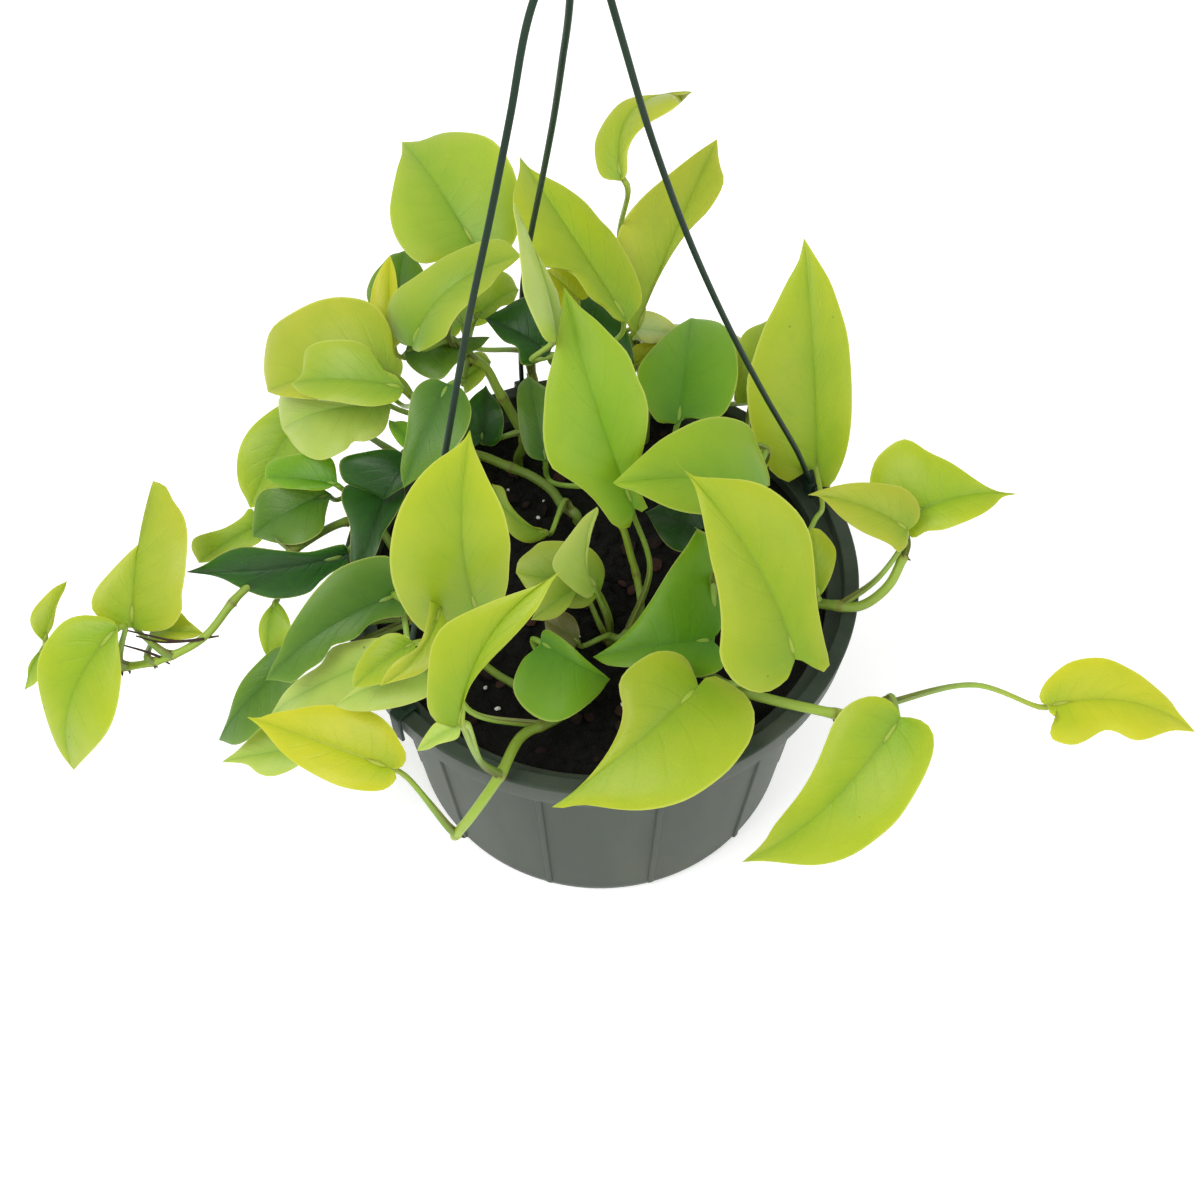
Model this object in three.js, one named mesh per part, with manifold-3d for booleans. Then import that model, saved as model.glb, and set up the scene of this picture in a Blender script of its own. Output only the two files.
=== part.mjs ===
// A neon pothos in a 10 inch hanging basket, standing on its base.
// Millimetres, +Z up, origin at the middle of the pot's underside, the front of the pot towards -Y.

import * as THREE from 'three';
import { mergeVertices } from 'three/addons/utils/BufferGeometryUtils.js';
import Module from 'manifold-3d';

const wasm = await Module();
wasm.setup();

// Pot
const potHeight = 160;
const rimRadius = 127;
const baseRadius = 104;
const shoulderRadius = 114.3;
const shoulderHeight = 143;
const ledgeHeight = 151;
const ledgeWidth = 5;
const lipWidth = 7.6;
const lipThickness = 2.2;
const skirtDepth = 16;
const skirtDraft = 1.4;
const wall = 1.9;
const floorThickness = 2.4;
const potSides = 44;
const ribCount = 12;
const ribWidth = 3.2;
const ribDepth = 1.1;
const ribFoot = 8;
const ribHeadroom = 2;
const footChamfer = 3;
const drainCount = 6;
const drainRadius = 5;
const drainCircle = 82;
const drainSides = 10;

// Soil
const soilEdge = 145;
const soilCrown = 149;
const soilGap = 0.4;
const holeGap = 0.5;
const rootDepth = 22;
const holeDepth = 60;
const holeSides = 8;

// Hanger
const strandRadius = 1.3;
const strandSides = 6;
const strandSteps = 10;
const hookSteps = 20;
const strandFit = 0.35;
const clipWidth = 7;
const clipThickness = 1.9;
const clipDrop = 17;
const clipGap = 0.4;
const hubAt = new THREE.Vector3(-8, 0, 478);
const hubRadius = 8;
const hubHeight = 16;
const hubSides = 16;
const hookNeck = 12;
const hookRadius = 15;
const hookWire = 2.4;
const hookStart = -70;
const hookEnd = 170;
const hookTurn = 30;
const hookEaseUntil = -40;
const hookEase = 0.6;
const hubTaper = 0.55;

// Plant
const vineRadius = 2.5;
const vineSides = 5;
const vineStepsPerPlace = 2;
const petioleRadius = 1.35;
const petioleSides = 4;
const petioleSteps = 4;
const petioleRise = 0.33;
const petioleApproach = 0.28;
const petioleClimb = 0.9;
const petioleRun = 0.8;
const petioleLift = 0.6;
const petioleSeat = 0.7;
const notchShare = 0.04;
const seatShare = 0.12;
const seatLimit = 9;
const bladeThickness = 0.9;
const rowLength = 12;
const fewestRows = 4;
const mostRows = 11;
const castRounds = 14;
const heelLimit = -0.5;
const ribPace = 0.25;
const lobeShare = 0.45;
const sunward = new THREE.Vector3(0, -0.35, 0.94).normalize();

// The viewpoint that places are read from: columns and rows of a 1200 by 1200 frame.
const frameMiddle = 600;
const focalLength = 1400;
const eye = new THREE.Vector3(0, -410, 713);
const pitch = THREE.MathUtils.degToRad(55);

const at = (x, y, z) => new THREE.Vector3(x, y, z);

// The direction of the line of sight through a column and row of the frame.
function sight(column, row) {
  const across = (column - frameMiddle) / focalLength;
  const down = (row - frameMiddle) / focalLength;
  return at(
    across,
    Math.cos(pitch) - down * Math.sin(pitch),
    -Math.sin(pitch) - down * Math.cos(pitch),
  );
}

// A place given by the column and row it is seen at, and its height above the table.
function seen(column, row, height) {
  const ray = sight(column, row);
  return ray.multiplyScalar((height - eye.z) / ray.z).add(eye);
}

// The column and row that a place is seen at.
function shown(place) {
  const gap = place.clone().sub(eye);
  const depth = gap.y * Math.cos(pitch) - gap.z * Math.sin(pitch);
  const rise = gap.y * Math.sin(pitch) + gap.z * Math.cos(pitch);
  return at(frameMiddle + (focalLength * gap.x) / depth, frameMiddle - (focalLength * rise) / depth, 0);
}

// A closed geometry as a solid that can be cut and joined.
function solid(geometry) {
  const bare = geometry.index ? geometry.toNonIndexed() : geometry.clone();
  bare.deleteAttribute('normal');
  bare.deleteAttribute('uv');
  const merged = mergeVertices(bare, 1e-4);
  const index = merged.index.array;
  const corners = [];
  for (let i = 0; i < index.length; i += 3) {
    const [a, b, c] = [index[i], index[i + 1], index[i + 2]];
    if (a !== b && b !== c && c !== a) corners.push(a, b, c);
  }
  return new wasm.Manifold(new wasm.Mesh({
    numProp: 3,
    vertProperties: new Float32Array(merged.attributes.position.array),
    triVerts: new Uint32Array(corners),
  }));
}

function mesh(name, shape, material) {
  const data = shape.getMesh();
  const geometry = new THREE.BufferGeometry();
  geometry.setAttribute('position', new THREE.BufferAttribute(data.vertProperties, 3));
  geometry.setIndex(new THREE.BufferAttribute(data.triVerts, 1));
  geometry.computeVertexNormals();
  const piece = new THREE.Mesh(geometry, material);
  piece.name = name;
  return piece;
}

function join(shapes) {
  return shapes.reduce((all, shape) => all.add(shape));
}

// The same body without the pockets that are enclosed where its parts meet.
function filled(shape) {
  return join(shape.decompose().filter((shell) => shell.volume() > 0));
}

// A round bar along a smooth line through the given points.
function bar(points, radius, sides, steps) {
  const line = new THREE.CatmullRomCurve3(points, false, 'centripetal');
  return barAlong(line, radius, sides, steps);
}

function barAlong(line, radius, sides, steps) {
  const section = new THREE.Shape();
  for (let i = 0; i < sides; i += 1) {
    const turn = (i / sides) * 2 * Math.PI;
    const [x, y] = [radius * Math.cos(turn), radius * Math.sin(turn)];
    if (i === 0) section.moveTo(x, y);
    else section.lineTo(x, y);
  }
  return solid(new THREE.ExtrudeGeometry(section, { steps, extrudePath: line }));
}

// A closed body of revolution about the pot's axis.
function turned(profile, sides) {
  const points = [...profile, profile[0]].map(([radius, height]) => new THREE.Vector2(radius, height));
  const body = new THREE.LatheGeometry(points, sides);
  body.rotateX(Math.PI / 2);
  return solid(body);
}

function potWallRadius(height) {
  return THREE.MathUtils.mapLinear(height, 0, shoulderHeight, baseRadius, shoulderRadius);
}

function pot() {
  const lipInner = rimRadius - lipWidth;
  const skirtFoot = potHeight - skirtDepth;
  let body = turned([
    [0, 0],
    [baseRadius - footChamfer, 0],
    [baseRadius, footChamfer],
    [shoulderRadius, shoulderHeight],
    [shoulderRadius, ledgeHeight - wall],
    [lipInner, ledgeHeight - wall],
    [lipInner + wall, ledgeHeight],
    [lipInner + wall, potHeight - lipThickness],
    [rimRadius - wall, potHeight - lipThickness],
    [rimRadius - skirtDraft - wall, skirtFoot],
    [rimRadius - skirtDraft, skirtFoot],
    [rimRadius, potHeight - 1],
    [rimRadius - 1, potHeight],
    [lipInner, potHeight],
    [lipInner, ledgeHeight],
    [lipInner - ledgeWidth - 2, ledgeHeight],
    [shoulderRadius - wall, shoulderHeight],
    [potWallRadius(floorThickness + footChamfer) - wall, floorThickness + footChamfer],
    [baseRadius - wall - footChamfer, floorThickness],
    [0, floorThickness],
  ], potSides);

  const ribHead = shoulderHeight - ribHeadroom;
  const ribMiddle = (ribHead + ribFoot) / 2;
  const lean = Math.atan2(shoulderRadius - baseRadius, shoulderHeight);
  for (let i = 0; i < ribCount; i += 1) {
    const rib = new THREE.BoxGeometry(2 * ribDepth, ribWidth, (ribHead - ribFoot) / Math.cos(lean));
    rib.rotateY(lean);
    rib.translate(potWallRadius(ribMiddle), 0, ribMiddle);
    rib.rotateZ(((i + 0.5) / ribCount) * 2 * Math.PI);
    body = body.add(solid(rib));
  }
  for (let i = 0; i < drainCount; i += 1) {
    const turn = (i / drainCount) * 2 * Math.PI;
    const drain = new THREE.CylinderGeometry(drainRadius, drainRadius, 4 * floorThickness, drainSides);
    drain.rotateX(Math.PI / 2);
    drain.translate(drainCircle * Math.cos(turn), drainCircle * Math.sin(turn), floorThickness / 2);
    body = body.subtract(solid(drain));
  }
  return body;
}

function soil(roots) {
  const inner = (height) => potWallRadius(height) - wall - soilGap;
  const bottom = floorThickness + soilGap;
  let body = turned([
    [0, bottom],
    [baseRadius - wall - soilGap - 4, bottom],
    [inner(bottom + 4), bottom + 4],
    [inner(shoulderHeight), shoulderHeight],
    [inner(shoulderHeight), soilEdge],
    [74, soilCrown - 1],
    [36, soilCrown],
    [0, soilCrown + 0.5],
  ], potSides);
  for (const root of roots) {
    const wide = vineRadius + holeGap;
    const hole = new THREE.CylinderGeometry(wide, wide, holeDepth, holeSides);
    hole.rotateX(Math.PI / 2);
    hole.translate(root.x, root.y, soilCrown - rootDepth - holeGap + holeDepth / 2);
    body = body.subtract(solid(hole));
  }
  return body;
}

// A strand of the hanger and the clip at its foot, which grips the pot's lip from inside, above
// and outside.
function strand(points) {
  const foot = points[points.length - 1];
  const top = potHeight + clipGap;
  const inside = rimRadius - lipWidth - clipGap;
  const outside = rimRadius + clipGap;
  const clip = [
    [inside - clipThickness, outside + clipThickness, top, top + clipThickness],
    [inside - clipThickness, inside, ledgeHeight + 2, top + clipThickness],
    [outside, outside + clipThickness, potHeight - clipDrop, top + clipThickness],
  ].map(([near, far, low, high]) => {
    const plate = new THREE.BoxGeometry(far - near, clipWidth, high - low);
    plate.translate((near + far) / 2, 0, (low + high) / 2);
    plate.rotateZ(Math.atan2(foot.y, foot.x));
    return solid(plate);
  });
  return join([bar(points, strandRadius, strandSides, strandSteps), ...clip]);
}

function hook(strandHeads) {
  const collar = new THREE.CylinderGeometry(hubRadius * hubTaper, hubRadius, hubHeight, hubSides);
  collar.rotateX(Math.PI / 2);
  collar.translate(hubAt.x, hubAt.y, hubAt.z + hubHeight / 2);
  const top = hubAt.z + hubHeight;
  const points = [at(hubAt.x, hubAt.y, top - hookNeck / 3), at(hubAt.x, hubAt.y, top + (2 / 3) * hookNeck)];
  // The wire rises off the neck, then follows a circle to the hook's open end.
  for (let turn = hookStart; turn <= hookEnd; turn += hookTurn) {
    const angle = THREE.MathUtils.degToRad(turn);
    const reach = hookRadius * (turn < hookEaseUntil ? hookEase : 1);
    points.push(at(
      hubAt.x + reach * Math.cos(angle),
      hubAt.y,
      top + hookNeck + hookRadius * (1 + Math.sin(angle)),
    ));
  }
  let body = join([solid(collar), bar(points, hookWire, strandSides, hookSteps)]);
  for (const head of strandHeads) body = body.subtract(head);
  return body;
}

// Half a blade's outline, from the notch at its base round the lobe to the tip.
// x runs along the midrib as a share of its length, y across it as a share of the half width.
function outline(step, lobe) {
  const side = step < lobeShare
    ? [[0, 0], [-lobe, 0.28], [-0.7 * lobe, 1], [0.3, 1]]
    : [[0.3, 1], [0.62, 1], [0.8, 0.22], [1, 0]];
  const share = step < lobeShare ? step / lobeShare : (step - lobeShare) / (1 - lobeShare);
  const curve = new THREE.CubicBezierCurve(...side.map(([x, y]) => new THREE.Vector2(x, y)));
  return curve.getPoint(share);
}

// A blade's own frame: the midrib's place and the directions along, across and out of it.
function bladeFrame(leaf) {
  const base = leaf.base;
  const chord = leaf.tip.clone().sub(base);
  const length = chord.length();
  const along = chord.clone().normalize();
  const roll = THREE.MathUtils.degToRad(leaf.roll ?? 0);
  const across = along.clone().cross(sunward).normalize().applyAxisAngle(along, roll);
  const out = across.clone().cross(along);
  const arch = leaf.arch ?? 6;
  const sway = leaf.sway ?? 0;
  const twist = THREE.MathUtils.degToRad(leaf.twist ?? 0);
  const frameAt = (u) => {
    const bend = 4 * u * (1 - u);
    const slope = 4 * (1 - 2 * u);
    const place = base.clone().addScaledVector(along, u * length)
      .addScaledVector(out, arch * bend).addScaledVector(across, sway * bend);
    const run = along.clone().multiplyScalar(length)
      .addScaledVector(out, arch * slope).addScaledVector(across, sway * slope).normalize();
    const side = across.clone().addScaledVector(run, -run.dot(across)).normalize();
    side.applyAxisAngle(run, twist * u);
    return { place, run, side, face: side.clone().cross(run) };
  };
  return { frameAt, length };
}

// One half's margin, as a function of the step from notch to tip that gives its point and the
// midrib's frame beside it. A rim is given by the columns and rows it is seen at, and each of its
// points lies where the line of sight meets the half's own surface.
function marginOf(leaf, hand) {
  const { frameAt, length } = bladeFrame(leaf);
  const fold = THREE.MathUtils.degToRad(leaf.fold ?? 12);
  const outwards = (far) => (
    far.side.clone().multiplyScalar(hand * Math.cos(fold)).addScaledVector(far.face, Math.sin(fold))
  );
  const rim = hand > 0 ? leaf.rightRim : leaf.leftRim;
  if (!rim) {
    return (step) => {
      const edge = outline(step, leaf.lobe ?? 0.17);
      const far = frameAt(edge.x);
      const reach = (leaf.wide / 2) * edge.y * ((hand > 0 ? leaf.right : leaf.left) ?? 1);
      return { far, point: far.place.clone().addScaledVector(outwards(far), reach) };
    };
  }
  const places = [shown(leaf.base), ...rim.map(([column, row]) => at(column, row, 0)), shown(leaf.tip)];
  const course = new THREE.CatmullRomCurve3(places, false, 'centripetal');
  const along = leaf.tip.clone().sub(leaf.base).normalize();
  return (step) => {
    const pixel = course.getPointAt(step);
    const ray = sight(pixel.x, pixel.y);
    let share = step;
    let far;
    let point;
    for (let round = 0; round < castRounds; round += 1) {
      far = frameAt(share);
      const normal = far.run.clone().cross(outwards(far));
      const reach = far.place.clone().sub(eye).dot(normal) / ray.dot(normal);
      point = ray.clone().multiplyScalar(reach).add(eye);
      const passed = point.clone().sub(leaf.base).dot(along) / length;
      share = (share + THREE.MathUtils.clamp(passed, heelLimit, 1)) / 2;
    }
    return { far, point };
  };
}

// A thin closed blade: a midrib and two edges, each face split into the same triangles.
function blade(leaf) {
  const { frameAt, length } = bladeFrame(leaf);
  const bladeRows = THREE.MathUtils.clamp(Math.round(length / rowLength), fewestRows, mostRows);
  const margins = [marginOf(leaf, 1), marginOf(leaf, -1)];
  const points = [];
  const triangles = [];
  // Rows of right edge, midrib and left edge, each as a top and a bottom point.
  const index = (row, lane, low) => {
    const rail = row === 0 || row === bladeRows ? 1 : lane;
    return ((row * 3 + rail) * 2) + low;
  };
  for (let row = 0; row <= bladeRows; row += 1) {
    const step = row / bladeRows;
    const rib = frameAt(ribPace * step + (1 - ribPace) * step * step);
    const [right, left] = margins.map((margin) => margin(step));
    const lanes = [[right.point, right.far.face], [rib.place, rib.face], [left.point, left.far.face]];
    for (const [place, face] of lanes) {
      points.push(place.clone().addScaledVector(face, bladeThickness / 2));
      points.push(place.clone().addScaledVector(face, -bladeThickness / 2));
    }
  }
  const quad = (a, b, c, d) => triangles.push([a, b, c], [a, c, d]);
  for (let row = 0; row < bladeRows; row += 1) {
    for (const lane of [0, 1]) {
      const next = lane + 1;
      quad(index(row, lane, 0), index(row + 1, lane, 0), index(row + 1, next, 0), index(row, next, 0));
      quad(index(row, next, 1), index(row + 1, next, 1), index(row + 1, lane, 1), index(row, lane, 1));
    }
    quad(index(row, 0, 0), index(row, 0, 1), index(row + 1, 0, 1), index(row + 1, 0, 0));
    quad(index(row, 2, 1), index(row, 2, 0), index(row + 1, 2, 0), index(row + 1, 2, 1));
  }
  const corners = [];
  for (const [a, b, c] of triangles) {
    if (a !== b && b !== c && c !== a) corners.push(points[a], points[b], points[c]);
  }
  return solid(new THREE.BufferGeometry().setFromPoints(corners));
}

// The stalk from the vine to the blade: it leaves along the vine and comes up under the midrib.
function petioleLine(leaf, vine) {
  const { frameAt, length } = bladeFrame(leaf);
  const notch = frameAt(notchShare);
  const start = vine.getPointAt(leaf.from);
  const forward = vine.getTangentAt(leaf.from);
  const span = start.distanceTo(notch.place);
  const leave = leaf.leave?.clone().normalize() ?? forward.lerp(at(0, 0, 1), petioleLift);
  const climb = leaf.climb ?? petioleClimb;
  const arrive = notch.run.clone().multiplyScalar(petioleRun)
    .addScaledVector(notch.face, climb).normalize();
  const under = petioleRadius * petioleSeat;
  const end = frameAt(notchShare + Math.min(seatLimit / length, seatShare));
  return new THREE.CatmullRomCurve3([
    start,
    leaf.via ?? start.clone().addScaledVector(leave, span * petioleRise),
    notch.place.clone().addScaledVector(arrive, -span * (leaf.approach ?? petioleApproach)),
    notch.place.clone().addScaledVector(notch.face, -under),
    end.place.clone().addScaledVector(end.face, -under),
  ], false, 'centripetal');
}

function vineLine(stem) {
  return new THREE.CatmullRomCurve3([
    stem.root.clone().setZ(soilEdge),
    stem.root.clone().setZ(soilCrown + 5),
    ...stem.vine,
  ], false, 'centripetal');
}

function leafyStem(stem) {
  const line = vineLine(stem);
  const root = stem.root.clone().setZ(soilCrown - rootDepth);
  const steps = vineStepsPerPlace * (line.points.length + 1);
  const stalk = bar([root, ...line.points], stem.radius ?? vineRadius, vineSides, steps);
  const petioles = stem.leaves.map((leaf) => (
    barAlong(petioleLine(leaf, line), petioleRadius, petioleSides, petioleSteps)
  ));
  const blades = stem.leaves.map(blade);
  return filled(join([stalk, ...petioles, ...blades]));
}

// Places on the strands, from the collar down to the lip.
const strands = {
  right: [[-3, 2, 484], [2, 4, 462], [8, 7, 438], [17, 10, 404], [33, 17, 352], [53, 25, 297],
    [75, 34, 243], [97, 43, 192], [104.5, 48, 170], [107.4, 50, 161.5]],
  back: [[-8, 4, 484], [-10, 10, 450], [-13, 20, 424], [-17, 35, 391], [-23, 56, 348], [-31, 84, 293],
    [-37, 101, 250], [-41, 114, 195], [-42, 118, 172], [-42, 118, 161.5]],
  left: [[-12, -4, 484], [-22, -14, 462], [-29, -22, 432], [-37, -30, 399], [-47, -40, 360],
    [-60, -54, 302], [-75, -70, 235], [-86, -81, 185], [-89, -84, 171], [-89, -84, 161.5]],
};

// Each stem: where it is rooted, the course of its vine above the soil, and the leaves it carries.
// A leaf: its notch and its tip, its width, and the share of the vine that its stalk springs from.
const stems = {
  vine_right: {
    root: at(36, -58, 0),
    vine: [seen(700, 672, 160), seen(738, 690, 166), seen(808, 708, 167), seen(850, 714, 166),
      seen(895, 698, 165)],
    leaves: [
      { base: seen(698, 686, 190), tip: seen(552, 807, 168), wide: 62, from: 0.35, arch: 9, fold: 6,
        sway: -3,
        rightRim: [[694, 670], [686, 657], [671, 651], [655, 652], [641, 659], [624, 673], [619, 684],
          [623, 709], [620, 726], [611, 746], [600, 763], [585, 781], [568, 796]],
        leftRim: [[705, 678], [714, 675], [736, 685], [749, 695], [756, 710], [756, 722], [752, 738],
          [742, 754], [728, 771], [694, 796], [672, 805], [646, 810], [621, 810], [580, 805], [562, 808]] },
      { base: seen(901, 717, 171), tip: seen(742, 862, 104), wide: 60, from: 0.96, arch: 12, fold: 8,
        sway: -7,
        rightRim: [[896, 707], [888, 700], [871, 696], [854, 701], [843, 709], [833, 723], [826, 740],
          [815, 766], [801, 791], [784, 813], [773, 827], [766, 839], [756, 850]],
        leftRim: [[908, 717], [916, 718], [927, 723], [934, 735], [934, 749], [930, 763], [924, 777],
          [910, 802], [896, 822], [877, 839], [854, 855], [834, 863], [812, 866], [770, 861], [753, 861]] },
      { base: seen(1048, 706, 136), tip: seen(1195, 732, 112), wide: 42, from: 0.9, arch: 5, fold: 8,
        sway: -8, leave: at(1, 0, 0), approach: 0.06, via: seen(975, 685, 150),
        rightRim: [[1051, 715], [1060, 718], [1057, 723], [1051, 727], [1051, 738], [1073, 745],
          [1086, 741], [1106, 730], [1116, 731], [1134, 740], [1144, 740], [1171, 731]],
        leftRim: [[1040, 700], [1044, 685], [1063, 666], [1076, 660], [1104, 658], [1134, 670],
          [1147, 678], [1171, 700], [1178, 712]] },
    ],
  },
  vine_rim_right: {
    root: at(84, -22, 0),
    vine: [seen(806, 602, 162), seen(832, 605, 167), seen(860, 606, 168), seen(888, 586, 174),
      seen(905, 553, 183)],
    leaves: [
      { base: seen(905, 516, 192), tip: seen(1017, 494, 196), wide: 44, from: 0.98, arch: 8, fold: 10,
        sway: -2,
        rightRim: [[907, 532], [913, 538], [926, 531], [944, 529], [981, 515], [995, 505], [1003, 497]],
        leftRim: [[885, 505], [871, 492], [872, 468], [880, 453], [904, 438], [929, 451], [951, 462],
          [981, 484], [997, 492]] },
      { base: seen(908, 530, 203), tip: seen(808, 495, 214), wide: 32, from: 0.5, arch: 5, fold: 10,
        sway: 2, via: seen(878, 578, 178),
        rightRim: [[917, 521], [920, 509], [916, 497], [904, 487], [856, 483], [819, 490]],
        leftRim: [[907, 545], [898, 552], [890, 545], [863, 531], [840, 516], [819, 497]] },
      { base: seen(818, 598, 178), tip: seen(812, 529, 192), wide: 20, from: 0.35, arch: 4, fold: 8,
        rightRim: [[825, 590], [836, 549], [821, 531]],
        leftRim: [[808, 590], [803, 545]] },
      { base: seen(817, 478, 166), tip: seen(804, 238, 250), wide: 56, from: 0.14, arch: 3, fold: 8,
        sway: 1, climb: -0.6, via: seen(815, 520, 168),
        rightRim: [[823, 489], [831, 486], [840, 471], [847, 451], [851, 425], [852, 399], [851, 364],
          [848, 334], [840, 306], [830, 280], [815, 256]],
        leftRim: [[813, 470], [807, 462], [800, 461], [794, 468], [794, 481], [786, 482], [771, 471],
          [760, 453], [752, 429], [748, 405], [747, 382], [752, 362], [758, 343], [766, 323], [775, 306],
          [788, 280], [799, 260]] },
    ],
  },
  vine_front: {
    root: at(-4, -66, 0),
    vine: [seen(560, 716, 160), seen(522, 736, 165), seen(500, 775, 168), seen(472, 815, 150),
      seen(453, 838, 128)],
    leaves: [
      { base: seen(460, 732, 228), tip: seen(566, 567, 285), wide: 48, from: 0.62, arch: 6, fold: 18,
        sway: -10, roll: 10, approach: 0.06, via: seen(481, 762, 190),
        rightRim: [[462, 720], [462, 708], [477, 672], [501, 650], [537, 609], [555, 577]],
        leftRim: [[448, 728], [434, 722], [427, 708], [427, 690], [428, 674], [432, 645], [441, 628],
          [452, 620], [470, 611], [496, 600], [515, 593], [537, 585], [554, 575]] },
      { base: seen(390, 768, 168), tip: seen(247, 717, 160), wide: 44, from: 0.96, arch: 6, fold: 8,
        rightRim: [[398, 769], [405, 763], [406, 753], [400, 742], [393, 729], [378, 715], [358, 707],
          [337, 704], [313, 705], [291, 710], [272, 714], [259, 718]],
        leftRim: [[397, 776], [385, 789], [346, 788], [313, 774], [282, 753], [259, 726]] },
      { base: seen(541, 642, 192), tip: seen(610, 679, 172), wide: 50, from: 0.2, arch: 5, fold: 6,
        sway: 2,
        rightRim: [[534, 650], [524, 658], [513, 687], [520, 703], [537, 717], [554, 722], [569, 718],
          [598, 694]],
        leftRim: [[541, 634], [545, 629]] },
      { base: seen(430, 668, 200), tip: seen(335, 706, 184), wide: 34, from: 0.36, arch: 7, fold: 8,
        via: seen(470, 711, 176),
        rightRim: [[418, 661], [346, 695]],
        leftRim: [[436, 690], [386, 709], [354, 711]] },
      { base: seen(461, 724, 231), tip: seen(417, 751, 222), wide: 20, from: 0.62, arch: 2, fold: 4,
        approach: 0.06, via: seen(481, 762, 190),
        rightRim: [[456, 702], [440, 719], [431, 726]],
        leftRim: [[458, 737], [437, 745], [426, 750]] },
    ],
  },
  vine_left: {
    root: at(-96, -2, 0),
    vine: [seen(372, 522, 163), seen(345, 522, 168), seen(300, 546, 172), seen(240, 594, 165),
      seen(203, 638, 155), seen(160, 660, 148), seen(118, 668, 142)],
    radius: 2.1,
    leaves: [
      { base: seen(347, 555, 176), tip: seen(186, 572, 168), wide: 36, from: 0.2, arch: 6, fold: 8,
        roll: -45,
        rightRim: [[347, 546], [309, 552], [280, 550], [241, 548], [222, 554], [204, 565]],
        leftRim: [[347, 565], [333, 572], [320, 583], [309, 594], [276, 599], [241, 588], [221, 579]] },
      { base: seen(132, 628, 158), tip: seen(153, 481, 190), wide: 46, from: 0.85, arch: 8, fold: 16,
        rightRim: [[150, 632], [170, 628], [181, 610], [181, 596], [185, 573], [187, 535], [183, 515],
          [172, 498], [165, 485]],
        leftRim: [[120, 626], [100, 618], [91, 607], [94, 591], [108, 573], [126, 555], [143, 539],
          [153, 506], [151, 490]] },
      { base: seen(118, 627, 172), tip: seen(74, 770, 104), wide: 52, from: 0.97, arch: 10, fold: 8,
        sway: 7,
        rightRim: [[112, 620], [80, 615], [62, 622], [43, 648], [37, 668], [41, 707], [54, 743]],
        leftRim: [[119, 684], [110, 727]] },
      { base: seen(44, 642, 150), tip: seen(67, 581, 160), wide: 18, from: 0.99, arch: 3, fold: 14,
        rightRim: [[51, 628], [55, 614]],
        leftRim: [[35, 632], [30, 620], [33, 608], [51, 591]] },
      { base: seen(150, 632, 146), tip: seen(203, 633, 152), wide: 26, from: 0.9, arch: 4, fold: 6,
        rightRim: [[152, 641], [165, 641], [193, 638]],
        leftRim: [[175, 610], [190, 622]] },
      { base: seen(262, 524, 160), tip: seen(199, 563, 150), wide: 30, from: 0.45, arch: 4, fold: 8,
        leave: at(-1, 0.8, 0.1),
        rightRim: [[250, 507], [242, 516], [225, 528], [192, 539], [190, 549]],
        leftRim: [[262, 540], [225, 554], [208, 562]] },
      { base: seen(275, 600, 152), tip: seen(268, 658, 134), wide: 24, from: 0.5, arch: 4, fold: 8,
        rightRim: [[260, 621], [258, 634]],
        leftRim: [[282, 606], [291, 626], [289, 645], [278, 655]] },
      { base: seen(42, 648, 146), tip: seen(25, 690, 128), wide: 12, from: 0.98, arch: 2, fold: 6,
        rightRim: [[33, 657], [28, 672]],
        leftRim: [[42, 662], [38, 681]] },
    ],
  },
  stem_left_high: {
    root: at(-76, 46, 0),
    vine: [at(-80, 50, 180), at(-88, 54, 205)],
    leaves: [
      { base: seen(396, 374, 238), tip: seen(268, 392, 222), wide: 62, from: 0.95, arch: 10, fold: 6,
        rightRim: [[394, 355], [389, 326], [372, 303], [343, 295], [318, 298], [295, 309], [271, 328],
          [265, 350], [264, 376]],
        leftRim: [[384, 386], [350, 397], [280, 396]] },
      { base: seen(404, 388, 246), tip: seen(291, 384, 242), wide: 36, from: 0.9, arch: 8, fold: 10,
        rightRim: [[396, 376], [385, 370], [369, 347], [350, 340], [306, 348], [300, 374]],
        leftRim: [[398, 400], [378, 406], [343, 402], [314, 398], [299, 392]] },
      { base: seen(392, 404, 222), tip: seen(283, 430, 200), wide: 50, from: 0.8, arch: 10, fold: 8,
        rightRim: [[384, 400], [360, 402], [330, 402], [277, 395]],
        leftRim: [[384, 430], [366, 440], [352, 441], [347, 448], [322, 460], [306, 456], [291, 444]] },
      { base: at(-112, 92, 186), tip: at(-150, 128, 160), wide: 46, from: 0.85, arch: 6, fold: 8 },
      { base: seen(416, 448, 226), tip: seen(389, 420, 220), wide: 14, from: 0.85, arch: 2, fold: 6,
        rightRim: [[419, 436], [412, 425]],
        leftRim: [[408, 451], [391, 432]] },
      { base: seen(448, 384, 250), tip: seen(404, 488, 222), wide: 52, from: 0.7, arch: 5, fold: 8,
        rightRim: [[434, 378], [420, 384], [412, 396], [406, 430], [401, 470]],
        leftRim: [[462, 388], [471, 408], [467, 430], [454, 450]] },
    ],
  },
  stem_left: {
    root: at(-12, 34, 0),
    vine: [seen(563, 506, 154), seen(552, 491, 155), seen(533, 477, 156), seen(507, 466, 158),
      seen(478, 455, 162), seen(440, 452, 170), seen(404, 466, 182)],
    leaves: [
      { base: seen(305, 415, 190), tip: seen(250, 508, 160), wide: 38, from: 0.97, arch: 6, fold: 10,
        rightRim: [[290, 402], [256, 421], [240, 447], [238, 484]],
        leftRim: [[320, 430], [318, 460], [295, 490], [270, 503]] },
      { base: seen(331, 494, 180), tip: seen(253, 537, 166), wide: 40, from: 0.95, arch: 8, fold: 10,
        rightRim: [[320, 487], [280, 488], [262, 490], [254, 500]],
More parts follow.
